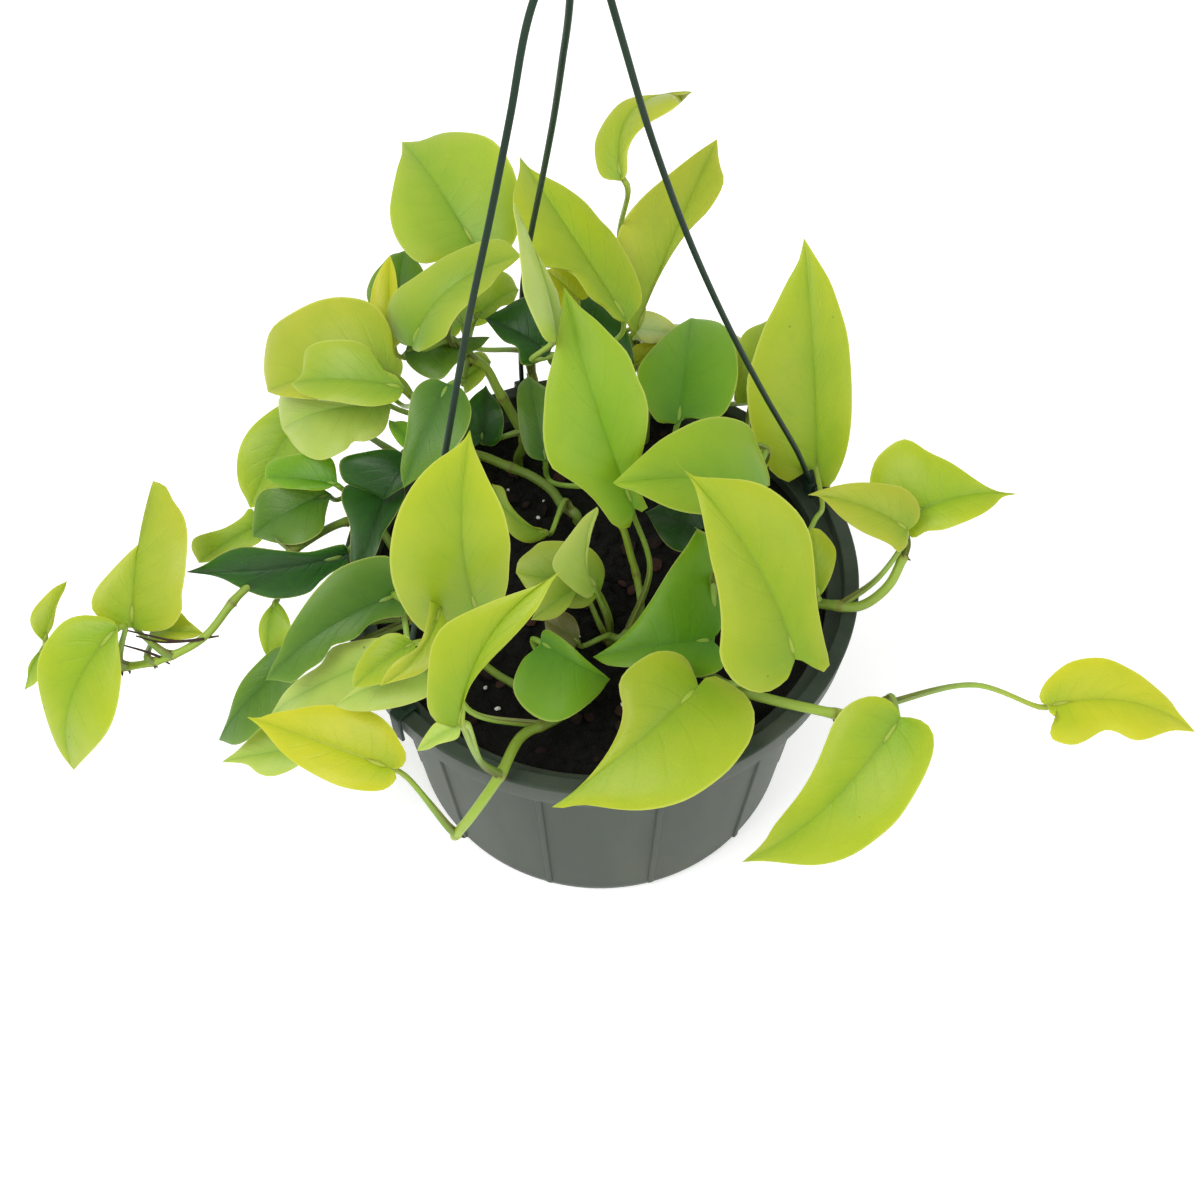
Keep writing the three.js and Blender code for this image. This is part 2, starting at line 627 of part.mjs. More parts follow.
        leftRim: [[326, 513], [323, 528], [300, 544], [275, 543]] },
      { base: seen(338, 484, 196), tip: seen(266, 478, 190), wide: 34, from: 0.96, arch: 4, fold: 8,
        rightRim: [[331, 458], [285, 455], [268, 463]],
        leftRim: [[325, 489], [280, 487]] },
      { base: seen(409, 459, 206), tip: seen(384, 500, 194), wide: 42, from: 0.98, arch: 5, fold: 8,
        rightRim: [[395, 451], [370, 450], [339, 461], [343, 480], [361, 489]],
        leftRim: [[414, 463], [407, 482]] },
      { base: seen(392, 484, 188), tip: seen(358, 575, 176), wide: 42, from: 0.99, arch: 6, fold: 14,
        rightRim: [[346, 484], [341, 497], [350, 527], [350, 562]],
        leftRim: [[403, 487], [405, 496], [383, 534], [378, 550], [370, 564]] },
      { base: seen(549, 533, 168), tip: seen(492, 484, 186), wide: 22, from: 0.1, arch: 3, fold: 6,
        sway: -6,
        rightRim: [[541, 528], [532, 526], [509, 502], [503, 488]],
        leftRim: [[546, 538], [530, 543], [515, 538], [500, 517]] },
    ],
  },
  stem_back_left: {
    root: at(-43, 72, 0),
    vine: [seen(524, 440, 172), seen(512, 414, 186), seen(498, 390, 200), seen(484, 366, 212),
      seen(458, 352, 222)],
    leaves: [
      { base: seen(475, 246, 254), tip: seen(402, 142, 262), wide: 60, from: 0.97, arch: 8, fold: 10,
        rightRim: [[488, 258], [505, 254], [516, 238], [521, 215], [519, 192], [513, 167], [496, 142],
          [483, 135], [460, 132], [441, 133], [420, 140]],
        leftRim: [[462, 250], [446, 258], [420, 263], [398, 241], [389, 211], [397, 170], [402, 156]] },
      { base: seen(412, 346, 240), tip: seen(521, 256, 274), wide: 48, from: 0.99, arch: 14, fold: 8,
        roll: -15,
        rightRim: [[418, 352], [444, 335], [447, 327], [458, 312], [490, 287], [500, 273]],
        leftRim: [[402, 345], [391, 335], [386, 318], [390, 300], [398, 288], [410, 279], [424, 268],
          [440, 257], [458, 249], [481, 242], [504, 241]] },
      { base: seen(393, 350, 228), tip: seen(390, 255, 256), wide: 34, from: 0.98, arch: 3, fold: 20,
        roll: -20,
        rightRim: [[402, 340], [400, 318], [397, 280]],
        leftRim: [[385, 346], [371, 326], [371, 290]] },
      { base: seen(405, 352, 225), tip: seen(490, 337, 222), wide: 36, from: 0.97, arch: 5, fold: 8,
        rightRim: [[407, 362], [420, 374], [441, 378], [455, 365], [468, 354], [481, 347]],
        leftRim: [[410, 341], [444, 335], [467, 340]] },
      { base: seen(398, 325, 222), tip: seen(404, 251, 238), wide: 34, from: 0.96, arch: 5, fold: 8,
        rightRim: [[420, 320], [428, 290], [421, 265], [412, 255]],
        leftRim: [[378, 318], [366, 295], [371, 278], [383, 264], [392, 254]] },
      { base: seen(474, 318, 228), tip: seen(519, 290, 230), wide: 28, from: 0.9, arch: 4, fold: 8,
        rightRim: [[488, 319], [500, 308], [513, 302]],
        leftRim: [[476, 300], [490, 282], [500, 272], [512, 278]] },
      { base: seen(482, 440, 176), tip: seen(486, 385, 190), wide: 22, from: 0.3, arch: 4, fold: 8 },
      { base: seen(462, 382, 206), tip: seen(491, 362, 210), wide: 22, from: 0.9, arch: 3, fold: 6,
        rightRim: [[466, 393], [486, 374]],
        leftRim: [[462, 366], [474, 353], [486, 352]] },
    ],
  },
  stem_back: {
    root: at(-10, 76, 0),
    vine: [at(-8, 82, 185), at(-2, 86, 205)],
    leaves: [
      { base: seen(628, 322, 238), tip: seen(520, 157, 276), wide: 56, from: 0.95, arch: 8, fold: 10,
        sway: -6, roll: 24,
        rightRim: [[641, 302], [635, 271], [615, 232], [601, 218], [586, 202], [564, 187], [530, 168]],
        leftRim: [[618, 320], [605, 307], [591, 298], [571, 273], [539, 263], [527, 240], [513, 200],
          [519, 172]] },
      { base: seen(557, 346, 250), tip: seen(514, 203, 325), wide: 36, from: 0.9, arch: 3, fold: 10,
        roll: 60,
        rightRim: [[561, 330], [560, 294], [554, 284], [525, 232]],
        leftRim: [[547, 339], [532, 298], [527, 274], [520, 246]] },
      { base: seen(550, 352, 236), tip: seen(485, 319, 243), wide: 36, from: 0.85, arch: 5, fold: 8,
        rightRim: [[557, 338], [552, 316], [540, 300], [527, 295], [512, 301], [504, 308]],
        leftRim: [[540, 362], [522, 364], [517, 348], [504, 341]] },
      { base: seen(578, 300, 232), tip: seen(545, 270, 240), wide: 22, from: 0.9, arch: 3, fold: 8 },
      { base: seen(628, 378, 196), tip: seen(576, 298, 212), wide: 44, from: 0.6, arch: 5, fold: 8,
        rightRim: [[634, 364], [621, 319], [604, 307], [588, 297]],
        leftRim: [[606, 374], [573, 318]] },
    ],
  },
  stem_back_right: {
    root: at(24, 92, 0),
    vine: [at(24, 104, 168), at(20, 122, 184)],
    leaves: [
      { base: seen(621, 181, 292), tip: seen(692, 92, 302), wide: 34, from: 0.97, arch: 12, fold: 10,
        sway: -11, roll: -30, approach: 0.06, via: at(9.7, 142, 236),
        rightRim: [[625, 176], [628, 149], [645, 126]],
        leftRim: [[605, 179], [599, 173], [593, 146], [598, 129], [620, 104], [645, 96]] },
      { base: seen(636, 334, 212), tip: seen(717, 139, 264), wide: 52, from: 0.9, arch: 6, fold: 12,
        sway: -3, roll: 25,
        rightRim: [[642, 305], [657, 273], [669, 256], [689, 230], [709, 210], [725, 180], [721, 164]],
        leftRim: [[628, 326], [620, 300], [614, 270], [616, 245], [625, 220], [642, 198], [662, 180],
          [696, 153]] },
      { base: seen(630, 328, 196), tip: seen(694, 340, 190), wide: 30, from: 0.8, arch: 3, fold: 8,
        rightRim: [[645, 343], [665, 341], [680, 342]],
        leftRim: [[640, 311], [664, 317]] },
      { base: seen(633, 368, 186), tip: seen(665, 338, 192), wide: 20, from: 0.75, arch: 2, fold: 6,
        rightRim: [[650, 357], [660, 346]],
        leftRim: [[632, 350], [640, 343]] },
    ],
  },
  stem_right: {
    root: at(72, 34, 0),
    vine: [at(76, 36, 175), at(80, 38, 190)],
    leaves: [
      { base: seen(678, 424, 200), tip: seen(691, 318, 200), wide: 50, from: 0.9, arch: 5, fold: 8,
        rightRim: [[688, 417], [702, 420], [721, 416], [732, 399], [738, 377], [738, 360], [732, 338],
          [723, 325], [710, 320]],
        leftRim: [[668, 422], [658, 421], [642, 395], [638, 369], [660, 339]] },
      { base: seen(758, 486, 206), tip: seen(613, 483, 240), wide: 46, from: 0.95, arch: 8, fold: 8,
        rightRim: [[766, 489], [772, 484], [765, 460], [757, 444], [750, 426], [725, 416], [703, 418],
          [682, 427], [660, 440], [643, 455], [625, 472]],
        leftRim: [[757, 500], [735, 511], [701, 514], [677, 510], [634, 490], [620, 487]] },
      { base: seen(752, 402, 182), tip: seen(768, 320, 200), wide: 34, from: 0.3, arch: 5, fold: 8,
        rightRim: [[776, 385], [784, 350], [778, 330]],
        leftRim: [[735, 402], [737, 380], [742, 336]] },
    ],
  },
  stem_middle: {
    root: at(5, -40, 0),
    vine: [seen(620, 638, 158), seen(640, 612, 156), seen(637, 578, 164), seen(631, 556, 174),
      seen(624, 531, 186), seen(614, 507, 196)],
    radius: 1.9,
    leaves: [
      { base: seen(634, 508, 215), tip: seen(564, 287, 287), wide: 52, from: 0.24, arch: 6, fold: 10,
        sway: -3, via: seen(650, 569, 176),
        rightRim: [[641, 512], [648, 510], [644, 500], [638, 485], [638, 470], [643, 450], [647, 432],
          [649, 412], [646, 395], [638, 377], [628, 353], [610, 334], [596, 320], [581, 308], [573, 299]],
        leftRim: [[633, 522], [628, 530], [615, 527], [607, 517], [595, 501], [580, 487], [562, 475],
          [552, 468], [546, 454], [543, 434], [544, 412], [546, 388], [551, 366], [556, 346], [559, 327],
          [562, 306]] },
      { base: seen(546, 462, 186), tip: seen(528, 376, 200), wide: 34, from: 0.9, arch: 5, fold: 8,
        rightRim: [[560, 448], [563, 420], [552, 392]],
        leftRim: [[528, 455], [517, 400], [520, 384]] },
      { base: seen(596, 588, 192), tip: seen(597, 507, 224), wide: 26, from: 0.03, arch: 4, fold: 14,
        sway: -8, roll: 30, via: seen(608, 622, 160),
        rightRim: [[584, 561], [599, 511]],
        leftRim: [[588, 597], [562, 580], [554, 564], [582, 519]] },
      { base: seen(600, 592, 176), tip: seen(516, 573, 184), wide: 34, from: 0.05, arch: 4, fold: 8,
        via: seen(610, 620, 158),
        rightRim: [[605, 580], [604, 566], [588, 547], [541, 541], [531, 549], [519, 561]],
        leftRim: [[588, 606], [560, 606], [530, 592]] },
      { base: seen(584, 584, 184), tip: seen(531, 620, 186), wide: 24, from: 0.02, arch: 3, fold: 6,
        via: seen(600, 625, 160),
        rightRim: [[579, 574], [567, 568], [555, 577]],
        leftRim: [[577, 592], [572, 602], [560, 615], [545, 620]] },
      { base: seen(578, 641, 166), tip: seen(545, 620, 170), wide: 16, from: 0.01, arch: 2, fold: 6,
        rightRim: [[579, 630], [574, 617], [560, 611]],
        leftRim: [[572, 652], [556, 648], [547, 634]] },
    ],
  },
  stem_front_left: {
    root: at(-29, -72, 0),
    vine: [seen(514, 684, 157), seen(486, 666, 164), seen(470, 644, 178), seen(464, 624, 194)],
    radius: 1.9,
    leaves: [
      { base: seen(478, 612, 242), tip: seen(470, 430, 325), wide: 54, from: 0.97, arch: 7, fold: 10,
        sway: -4,
        rightRim: [[487, 620], [498, 612], [507, 590], [509, 565], [510, 544], [503, 510], [486, 476],
          [473, 446]],
        leftRim: [[468, 626], [452, 638], [436, 638], [421, 630], [410, 619], [399, 602], [392, 585],
          [389, 565], [390, 546], [395, 522], [404, 500], [418, 478], [435, 461], [450, 451], [463, 441]] },
      { base: seen(440, 608, 252), tip: seen(380, 686, 240), wide: 20, from: 0.9, arch: 5, fold: 12,
        sway: -6,
        rightRim: [[431, 600], [429, 614], [418, 645], [398, 660], [386, 674]],
        leftRim: [[448, 625], [428, 668]] },
    ],
  },
  stem_low_left: {
    root: at(-80, -38, 0),
    vine: [at(-84, -42, 168), at(-90, -46, 182)],
    leaves: [
      { base: seen(404, 592, 198), tip: seen(266, 680, 172), wide: 48, from: 0.97, arch: 8, fold: 8,
        sway: 5, roll: -20,
        rightRim: [[404, 575], [392, 558], [376, 556], [339, 568], [322, 583], [309, 598], [287, 633],
          [280, 652], [272, 666]],
        leftRim: [[405, 615], [387, 618], [370, 624], [357, 637], [346, 642], [332, 646], [322, 661],
          [306, 672], [291, 683], [278, 680]] },
      { base: seen(292, 656, 142), tip: seen(219, 740, 100), wide: 34, from: 0.9, arch: 6, fold: 8,
        via: at(-116, -47, 174),
        rightRim: [[280, 646], [245, 677]],
        leftRim: [[298, 675], [292, 700], [259, 730], [248, 740], [234, 745]] },
      { base: seen(400, 652, 186), tip: seen(266, 722, 120), wide: 40, from: 0.9, arch: 12, fold: 8,
        rightRim: [[412, 640], [398, 634], [383, 637], [357, 640], [330, 648], [321, 664], [300, 679],
          [284, 694]],
        leftRim: [[400, 668], [380, 688], [350, 704], [315, 716], [285, 722]] },
      { base: seen(300, 748, 100), tip: seen(222, 762, 88), wide: 30, from: 0.8, arch: 4, fold: 8,
        via: at(-122, -62, 168),
        rightRim: [[290, 738], [261, 728], [254, 735]],
        leftRim: [[302, 762], [272, 776], [259, 774], [248, 765]] },
      { base: seen(414, 642, 224), tip: seen(353, 688, 206), wide: 26, from: 0.94, arch: 4, fold: 8,
        rightRim: [[400, 634], [384, 635], [366, 649], [354, 677]],
        leftRim: [[416, 656], [402, 668], [379, 684]] },
    ],
  },
  stem_front_right: {
    root: at(46, -24, 0),
    vine: [at(48, -30, 172), at(52, -36, 190)],
    leaves: [
      { base: seen(795, 659, 200), tip: seen(676, 462, 270), wide: 66, from: 0.97, arch: 8, fold: 8,
        sway: 5,
        rightRim: [[803, 661], [809, 664], [820, 672], [830, 673], [831, 663], [827, 649], [821, 625],
          [816, 597], [814, 561], [811, 535], [802, 516], [787, 500], [767, 486], [748, 480], [720, 478],
          [693, 476], [684, 470]],
        leftRim: [[792, 665], [788, 678], [778, 688], [765, 694], [748, 691], [734, 681], [724, 665],
          [721, 653], [722, 636], [721, 614], [717, 586], [711, 561], [707, 538], [701, 507], [695, 486],
          [686, 472]] },
      { base: seen(712, 640, 180), tip: seen(593, 657, 178), wide: 56, from: 0.9, arch: 6, fold: 8,
        rightRim: [[720, 630], [728, 610], [730, 580], [722, 550], [701, 527], [690, 542], [672, 566],
          [649, 603], [630, 628], [610, 646]],
        leftRim: [[722, 652], [722, 668], [705, 676], [680, 676], [650, 669], [607, 665]] },
      { base: seen(700, 530, 180), tip: seen(645, 512, 184), wide: 30, from: 0.8, arch: 4, fold: 8 },
    ],
  },
  stem_rear_left: {
    root: at(-28, 94, 0),
    vine: [at(-32, 98, 170), at(-36, 104, 186)],
    leaves: [
      { base: at(-12, 128, 188), tip: at(-6, 184, 150), wide: 50, from: 0.95, arch: 8, fold: 8 },
      { base: at(-72, 128, 196), tip: at(-92, 186, 168), wide: 50, from: 0.9, arch: 8, fold: 8 },
    ],
  },
  stem_rear_right: {
    root: at(56, 78, 0),
    vine: [at(58, 84, 166), at(60, 92, 178)],
    leaves: [
      { base: at(52, 120, 176), tip: at(62, 172, 144), wide: 46, from: 0.95, arch: 8, fold: 8 },
      { base: at(92, 108, 174), tip: at(118, 148, 160), wide: 46, from: 0.5, arch: 8, fold: 8 },
      { base: at(24, 134, 176), tip: at(28, 158, 116), wide: 44, from: 0.85, arch: 8, fold: 8,
        via: at(44, 114, 172) },
    ],
  },
};

const leafColour = new THREE.MeshStandardMaterial({ color: 0xa6cc34, roughness: 0.45, metalness: 0 });
const soilColour = new THREE.MeshStandardMaterial({ color: 0x1d1712, roughness: 1, metalness: 0 });
const potColour = new THREE.MeshStandardMaterial({ color: 0x55605a, roughness: 0.5, metalness: 0 });
const strandColour = new THREE.MeshStandardMaterial({ color: 0x3f5a4d, roughness: 0.5, metalness: 0 });

const strandLines = Object.fromEntries(
  Object.entries(strands).map(([side, places]) => [side, places.map((place) => at(...place))]),
);
const strandHeads = Object.values(strandLines).map((line) => (
  bar(line, strandRadius + strandFit, strandSides, strandSteps)
));
const roots = Object.values(stems).map((stem) => stem.root);

const plant = new THREE.Group();
plant.add(mesh('pot', pot(), potColour));
plant.add(mesh('soil', soil(roots), soilColour));
plant.add(mesh('hook', hook(strandHeads), strandColour));
for (const [side, line] of Object.entries(strandLines)) {
  plant.add(mesh(`strand_${side}`, strand(line), strandColour));
}
for (const [name, stem] of Object.entries(stems)) {
  plant.add(mesh(name, leafyStem(stem), leafColour));
}

export default plant;
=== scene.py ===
"""A neon pothos in a 10 inch hanging basket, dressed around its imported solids.

Lengths in the classes are millimetres in the part's own frame: +Z up, the front of the pot
towards -Y, the origin at the middle of its underside. They become metres where a mesh is made.
"""

from __future__ import annotations

import logging
import math
from dataclasses import dataclass, field
from enum import Enum

import bpy
import numpy as np
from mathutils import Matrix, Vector


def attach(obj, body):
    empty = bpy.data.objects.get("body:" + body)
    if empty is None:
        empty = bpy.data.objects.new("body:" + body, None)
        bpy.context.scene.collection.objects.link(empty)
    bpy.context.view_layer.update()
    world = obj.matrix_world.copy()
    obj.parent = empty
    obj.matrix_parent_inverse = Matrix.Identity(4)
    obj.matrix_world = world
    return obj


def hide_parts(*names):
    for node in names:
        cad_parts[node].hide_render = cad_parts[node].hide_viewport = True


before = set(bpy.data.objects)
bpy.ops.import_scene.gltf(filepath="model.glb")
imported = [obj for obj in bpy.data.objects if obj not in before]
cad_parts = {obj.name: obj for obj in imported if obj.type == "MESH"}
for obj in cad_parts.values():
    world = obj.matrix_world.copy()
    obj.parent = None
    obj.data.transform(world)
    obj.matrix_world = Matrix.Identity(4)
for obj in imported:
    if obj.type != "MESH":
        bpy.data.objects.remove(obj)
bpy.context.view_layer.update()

log = logging.getLogger("pothos")

MM = 0.001
BODY = "root"
TAU = 2.0 * math.pi
UP = np.array([0.0, 0.0, 1.0])
SUNWARD = np.array([0.0, -0.35, 0.94]) / math.hypot(0.35, 0.94)

# The photograph's viewpoint, in a frame of 1200 by 1200 pixels.
FRAME_SIZE = 1200
FRAME_MIDDLE = FRAME_SIZE / 2
FOCAL_PIXELS = 1400.0
SENSOR_MM = 36.0
EYE = np.array([0.0, -410.0, 713.0])
PITCH = math.radians(55)


def at(x: float, y: float, z: float) -> np.ndarray:
    """A place or direction in the part's frame, in millimetres."""
    return np.array([x, y, z], dtype=float)


def seen(column: float, row: float, height: float) -> np.ndarray:
    """The place at a height above the table that shows at a column and row of the photograph.

    Args:
        column: Pixels from the frame's left side.
        row: Pixels from the frame's top.
        height: Millimetres above the table.

    Returns:
        The point where the line of sight meets that height.
    """
    sight = sights(np.array([column, row]))
    return EYE + sight * (height - EYE[2]) / sight[2]


def sights(pixels: np.ndarray) -> np.ndarray:
    """The directions from the eye through (column, row) pixels of the photograph."""
    across, down = (np.moveaxis(np.asarray(pixels, dtype=float), -1, 0) - FRAME_MIDDLE) / FOCAL_PIXELS
    forward, low = math.cos(PITCH), math.sin(PITCH)
    return np.stack([across, forward - down * low, -low - down * forward], axis=-1)


def shown(place: np.ndarray) -> np.ndarray:
    """The (column, row) at which a place shows in the photograph."""
    gap = place - EYE
    depth = gap[1] * math.cos(PITCH) - gap[2] * math.sin(PITCH)
    rise = gap[1] * math.sin(PITCH) + gap[2] * math.cos(PITCH)
    return FRAME_MIDDLE + FOCAL_PIXELS * np.array([gap[0], -rise]) / depth


def linear(red: int, green: int, blue: int) -> tuple[float, float, float]:
    """A colour written as 0 to 255 in sRGB, as the linear values that a shader takes."""
    shares = np.array([red, green, blue]) / 255.0
    bright = ((shares + 0.055) / 1.055) ** 2.4
    return tuple(float(v) for v in np.where(shares > 0.04045, bright, shares / 12.92))


def unit(vectors: np.ndarray) -> np.ndarray:
    """The vectors of the last axis at length one."""
    return vectors / np.maximum(np.linalg.norm(vectors, axis=-1, keepdims=True), 1e-12)


def spin(vectors: np.ndarray, axis: np.ndarray, angle: np.ndarray | float) -> np.ndarray:
    """The vectors turned about an axis by Rodrigues' formula.

    Args:
        vectors: Vectors to turn.
        axis: Unit axes, one or as many as the vectors.
        angle: Angles in radians, one or as many as the vectors.

    Returns:
        The turned vectors.
    """
    angle = np.asarray(angle, dtype=float)[..., None]
    along = np.sum(vectors * axis, axis=-1, keepdims=True) * axis
    return (
        vectors * np.cos(angle)
        + np.cross(np.broadcast_to(axis, vectors.shape), vectors) * np.sin(angle)
        + along * (1 - np.cos(angle))
    )


def smoothstep(low: float, high: float, values: np.ndarray) -> np.ndarray:
    """A smooth rise from 0 at low to 1 at high."""
    share = np.clip((values - low) / (high - low), 0.0, 1.0)
    return share * share * (3 - 2 * share)


class SmoothLine:
    """A centripetal Catmull-Rom line through places, measured along its arc."""

    SAMPLES = 200

    def __init__(self, places: list[np.ndarray]) -> None:
        """Keeps the places and measures the line between them."""
        self.places = np.array(places, dtype=float)
        shares = np.linspace(0.0, 1.0, self.SAMPLES + 1)
        steps = np.linalg.norm(np.diff(self.points(shares), axis=0), axis=1)
        self.run = np.concatenate([[0.0], np.cumsum(steps)])
        self.shares = shares

    @property
    def length(self) -> float:
        """The line's length in millimetres."""
        return float(self.run[-1])

    def points(self, shares: np.ndarray) -> np.ndarray:
        """Points at shares of the places' count, by the non-uniform cubic between four neighbours.

        Each stretch is a Hermite cubic whose end slopes weigh the neighbouring chords by the
        square roots of their lengths.

        Args:
            shares: Positions from 0 to 1, counted in places rather than in length.

        Returns:
            One point for each share.
        """
        places = self.places
        count = len(places)
        padded = np.vstack([2 * places[0] - places[1], places, 2 * places[-1] - places[-2]])
        spot = np.clip(shares, 0.0, 1.0) * (count - 1)
        cell = np.minimum(spot.astype(int), count - 2)
        weight = (spot - cell)[:, None]
        before, start, end, after = (padded[cell + k] for k in range(4))
        gaps = [
            np.maximum(np.linalg.norm(q - p, axis=1, keepdims=True), 1e-9) ** 0.5
            for p, q in ((before, start), (start, end), (end, after))
        ]
        first = (start - before) / gaps[0] - (end - before) / (gaps[0] + gaps[1]) + (end - start) / gaps[1]
        last = (end - start) / gaps[1] - (after - start) / (gaps[1] + gaps[2]) + (after - end) / gaps[2]
        first, last = first * gaps[1], last * gaps[1]
        cubic = 2 * start - 2 * end + first + last
        square = -3 * start + 3 * end - 2 * first - last
        return start + first * weight + square * weight**2 + cubic * weight**3

    def along(self, shares: np.ndarray) -> np.ndarray:
        """Points at shares of the line's length."""
        return self.points(np.interp(np.asarray(shares) * self.run[-1], self.run, self.shares))

    def tangent(self, share: float) -> np.ndarray:
        """The direction of travel at a share of the length."""
        step = 1e-4
        low, high = max(share - step, 0.0), min(share + step, 1.0)
        ends = self.along(np.array([low, high]))
        return unit(ends[1] - ends[0])


@dataclass
class Patch:
    """A closed piece of surface: its points, its faces and what a finish reads at each point."""

    points: np.ndarray
    quads: np.ndarray
    uv: np.ndarray
    tint: np.ndarray
    slot: int = 0
    under: np.ndarray | None = None

    def welded(self) -> Patch:
        """The same patch with points that lie together made one, and its faces pointing out."""
        keys = np.round(self.points / 1e-4).astype(np.int64)
        _, first, inverse = np.unique(keys, axis=0, return_index=True, return_inverse=True)
        quads = inverse.reshape(-1)[self.quads]
        points = self.points[first]
        triangles = np.concatenate([quads[:, [0, 1, 2]], quads[:, [0, 2, 3]]])
        a, b, c = (points[triangles[:, k]] for k in range(3))
        if np.sum(np.cross(a, b) * c) < 0:
            quads = quads[:, ::-1]
        under = None if self.under is None else self.under[first]
        return Patch(points, quads, self.uv[first], self.tint[first], self.slot, under)

    def faces(self, offset: int) -> list[tuple[int, ...]]:
        """The faces as corner tuples, with repeated corners dropped and flat ones left out."""
        rows = self.quads + offset
        same = rows == np.roll(rows, -1, axis=1)
        whole = rows[~same.any(axis=1)]
        found = [tuple(row) for row in whole[whole[:, 0] != whole[:, 2]].tolist()]
        for row, repeat in zip(rows[same.any(axis=1)].tolist(), same[same.any(axis=1)].tolist()):
            corners = tuple(corner for corner, twice in zip(row, repeat) if not twice)
            if len(set(corners)) == 3:
                found.append(corners)
        return found


def grid_quads(rows: int, columns: int, wrap: bool) -> np.ndarray:
    """Corner numbers of the quads of a grid whose points are counted row by row.

    Args:
        rows: Rows of points.
        columns: Points in a row.
        wrap: Whether the last column joins the first.

    Returns:
        One row of four corners for each quad.
    """
    across = columns if wrap else columns - 1
    row, column = np.meshgrid(np.arange(rows - 1), np.arange(across), indexing="ij")
    beside = (column + 1) % columns
    corners = [row * columns + column, (row + 1) * columns + column, (row + 1) * columns + beside]
    return np.stack([*corners, row * columns + beside], axis=-1).reshape(-1, 4)


def ringed(rings: np.ndarray, uv: np.ndarray, tint: np.ndarray, slot: int = 0) -> Patch:
    """A closed body from rings of points, its two ends closed by shrinking the end rings to a point.

    Args:
        rings: Points as rings by points by three.
        uv: A uv pair for each point.
        tint: A colour for each point.
        slot: The number of its material.

    Returns:
        The welded patch.
    """
    ends = [np.broadcast_to(rings[k].mean(axis=0), rings[k].shape) for k in (0, -1)]
    points = np.concatenate([ends[0][None], rings, ends[1][None]])
    wide = [np.concatenate([values[:1], values, values[-1:]]) for values in (uv, tint)]
    quads = grid_quads(points.shape[0], points.shape[1], True)
    patch = Patch(points.reshape(-1, 3), quads, wide[0].reshape(-1, 2), wide[1].reshape(-1, 3), slot)
    return patch.welded()


def tube(line: np.ndarray, section: np.ndarray, colours: np.ndarray, slot: int = 0) -> Patch:
    """A section carried along a line on frames that never spin about it.

    Each frame is the one before with its part along the new direction taken out, starting from
    the side that lies nearest to upwards.

    Args:
        line: Points along the middle.
        section: For each point of the line, the section's places as (sideways, upwards) pairs.
        colours: A colour for each point of each section.
        slot: The number of its material.

    Returns:
        The closed tube.
    """
    run = unit(np.gradient(line, axis=0))
    rise = UP if abs(run[0] @ UP) < 0.9 else at(0, -1, 0)
    ups = []
    for direction in run:
        rise = unit(rise - (rise @ direction) * direction)
        ups.append(rise)
    ups = np.array(ups)
    sides = np.cross(run, ups)
    rings = line[:, None] + section[..., :1] * sides[:, None] + section[..., 1:] * ups[:, None]
    travelled = np.concatenate([[0.0], np.cumsum(np.linalg.norm(np.diff(line, axis=0), axis=1))])
    turn = np.linspace(0, 1, section.shape[1], endpoint=False)
    uv = np.stack(np.meshgrid(travelled, turn, indexing="ij"), axis=-1)
    return ringed(rings, uv, colours, slot)


def round_section(radii: np.ndarray, sides: int) -> np.ndarray:
    """Circles of the given radii as (sideways, upwards) pairs."""
    turn = np.linspace(0, TAU, sides, endpoint=False)
    return radii[:, None, None] * np.stack([np.sin(turn), np.cos(turn)], axis=-1)[None]


def flat_tint(colour: tuple[float, float, float], shape: tuple[int, ...]) -> np.ndarray:
    """One colour for every point of a shape."""
    return np.broadcast_to(np.array(colour), (*shape, 3)).copy()


def make_piece(name: str, patches: list[Patch], materials: list[bpy.types.Material]) -> bpy.types.Object:
    """One mesh object of several patches, riding on the part's only body.

    Args:
        name: The piece's name.
        patches: What it is made of, in millimetres.
        materials: Its materials, in the order of the patches' slots.

    Returns:
        The new object, at the origin.
    """
    counts = [len(patch.points) for patch in patches]
    offsets = np.concatenate([[0], np.cumsum(counts)[:-1]])
    points = np.concatenate([patch.points for patch in patches]) * MM
    faces: list[tuple[int, ...]] = []
    slots: list[int] = []
    for patch, offset in zip(patches, offsets):
        found = patch.faces(int(offset))
        faces += found
        slots += [patch.slot] * len(found)
    mesh = bpy.data.meshes.new(name)
    mesh.from_pydata(points, [], faces)
    mesh.polygons.foreach_set("material_index", slots)
    corners = np.empty(len(mesh.loops), dtype=np.int32)
    mesh.loops.foreach_get("vertex_index", corners)
    uv = np.concatenate([patch.uv for patch in patches])
    mesh.uv_layers.new(name="surface").data.foreach_set("uv", uv[corners].astype(np.float32).ravel())
    tint = np.concatenate([patch.tint for patch in patches])
    shown = np.concatenate([tint, np.ones((len(tint), 1))], axis=1).astype(np.float32)
    mesh.attributes.new("tint", "FLOAT_COLOR", "POINT").data.foreach_set("color", shown.ravel())
    under = [np.zeros(len(p.points)) if p.under is None else p.under for p in patches]
    values = np.concatenate(under).astype(np.float32)
    mesh.attributes.new("under", "FLOAT", "POINT").data.foreach_set("value", values)
    for material in materials:
        mesh.materials.append(material)
    mesh.shade_smooth()
    mesh.set_sharp_from_angle(angle=math.radians(48))
    mesh.update()
    piece = bpy.data.objects.new(name, mesh)
    bpy.context.scene.collection.objects.link(piece)
    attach(piece, BODY)
    log.info("%s: %d points, %d faces", name, len(points), len(faces))
    return piece


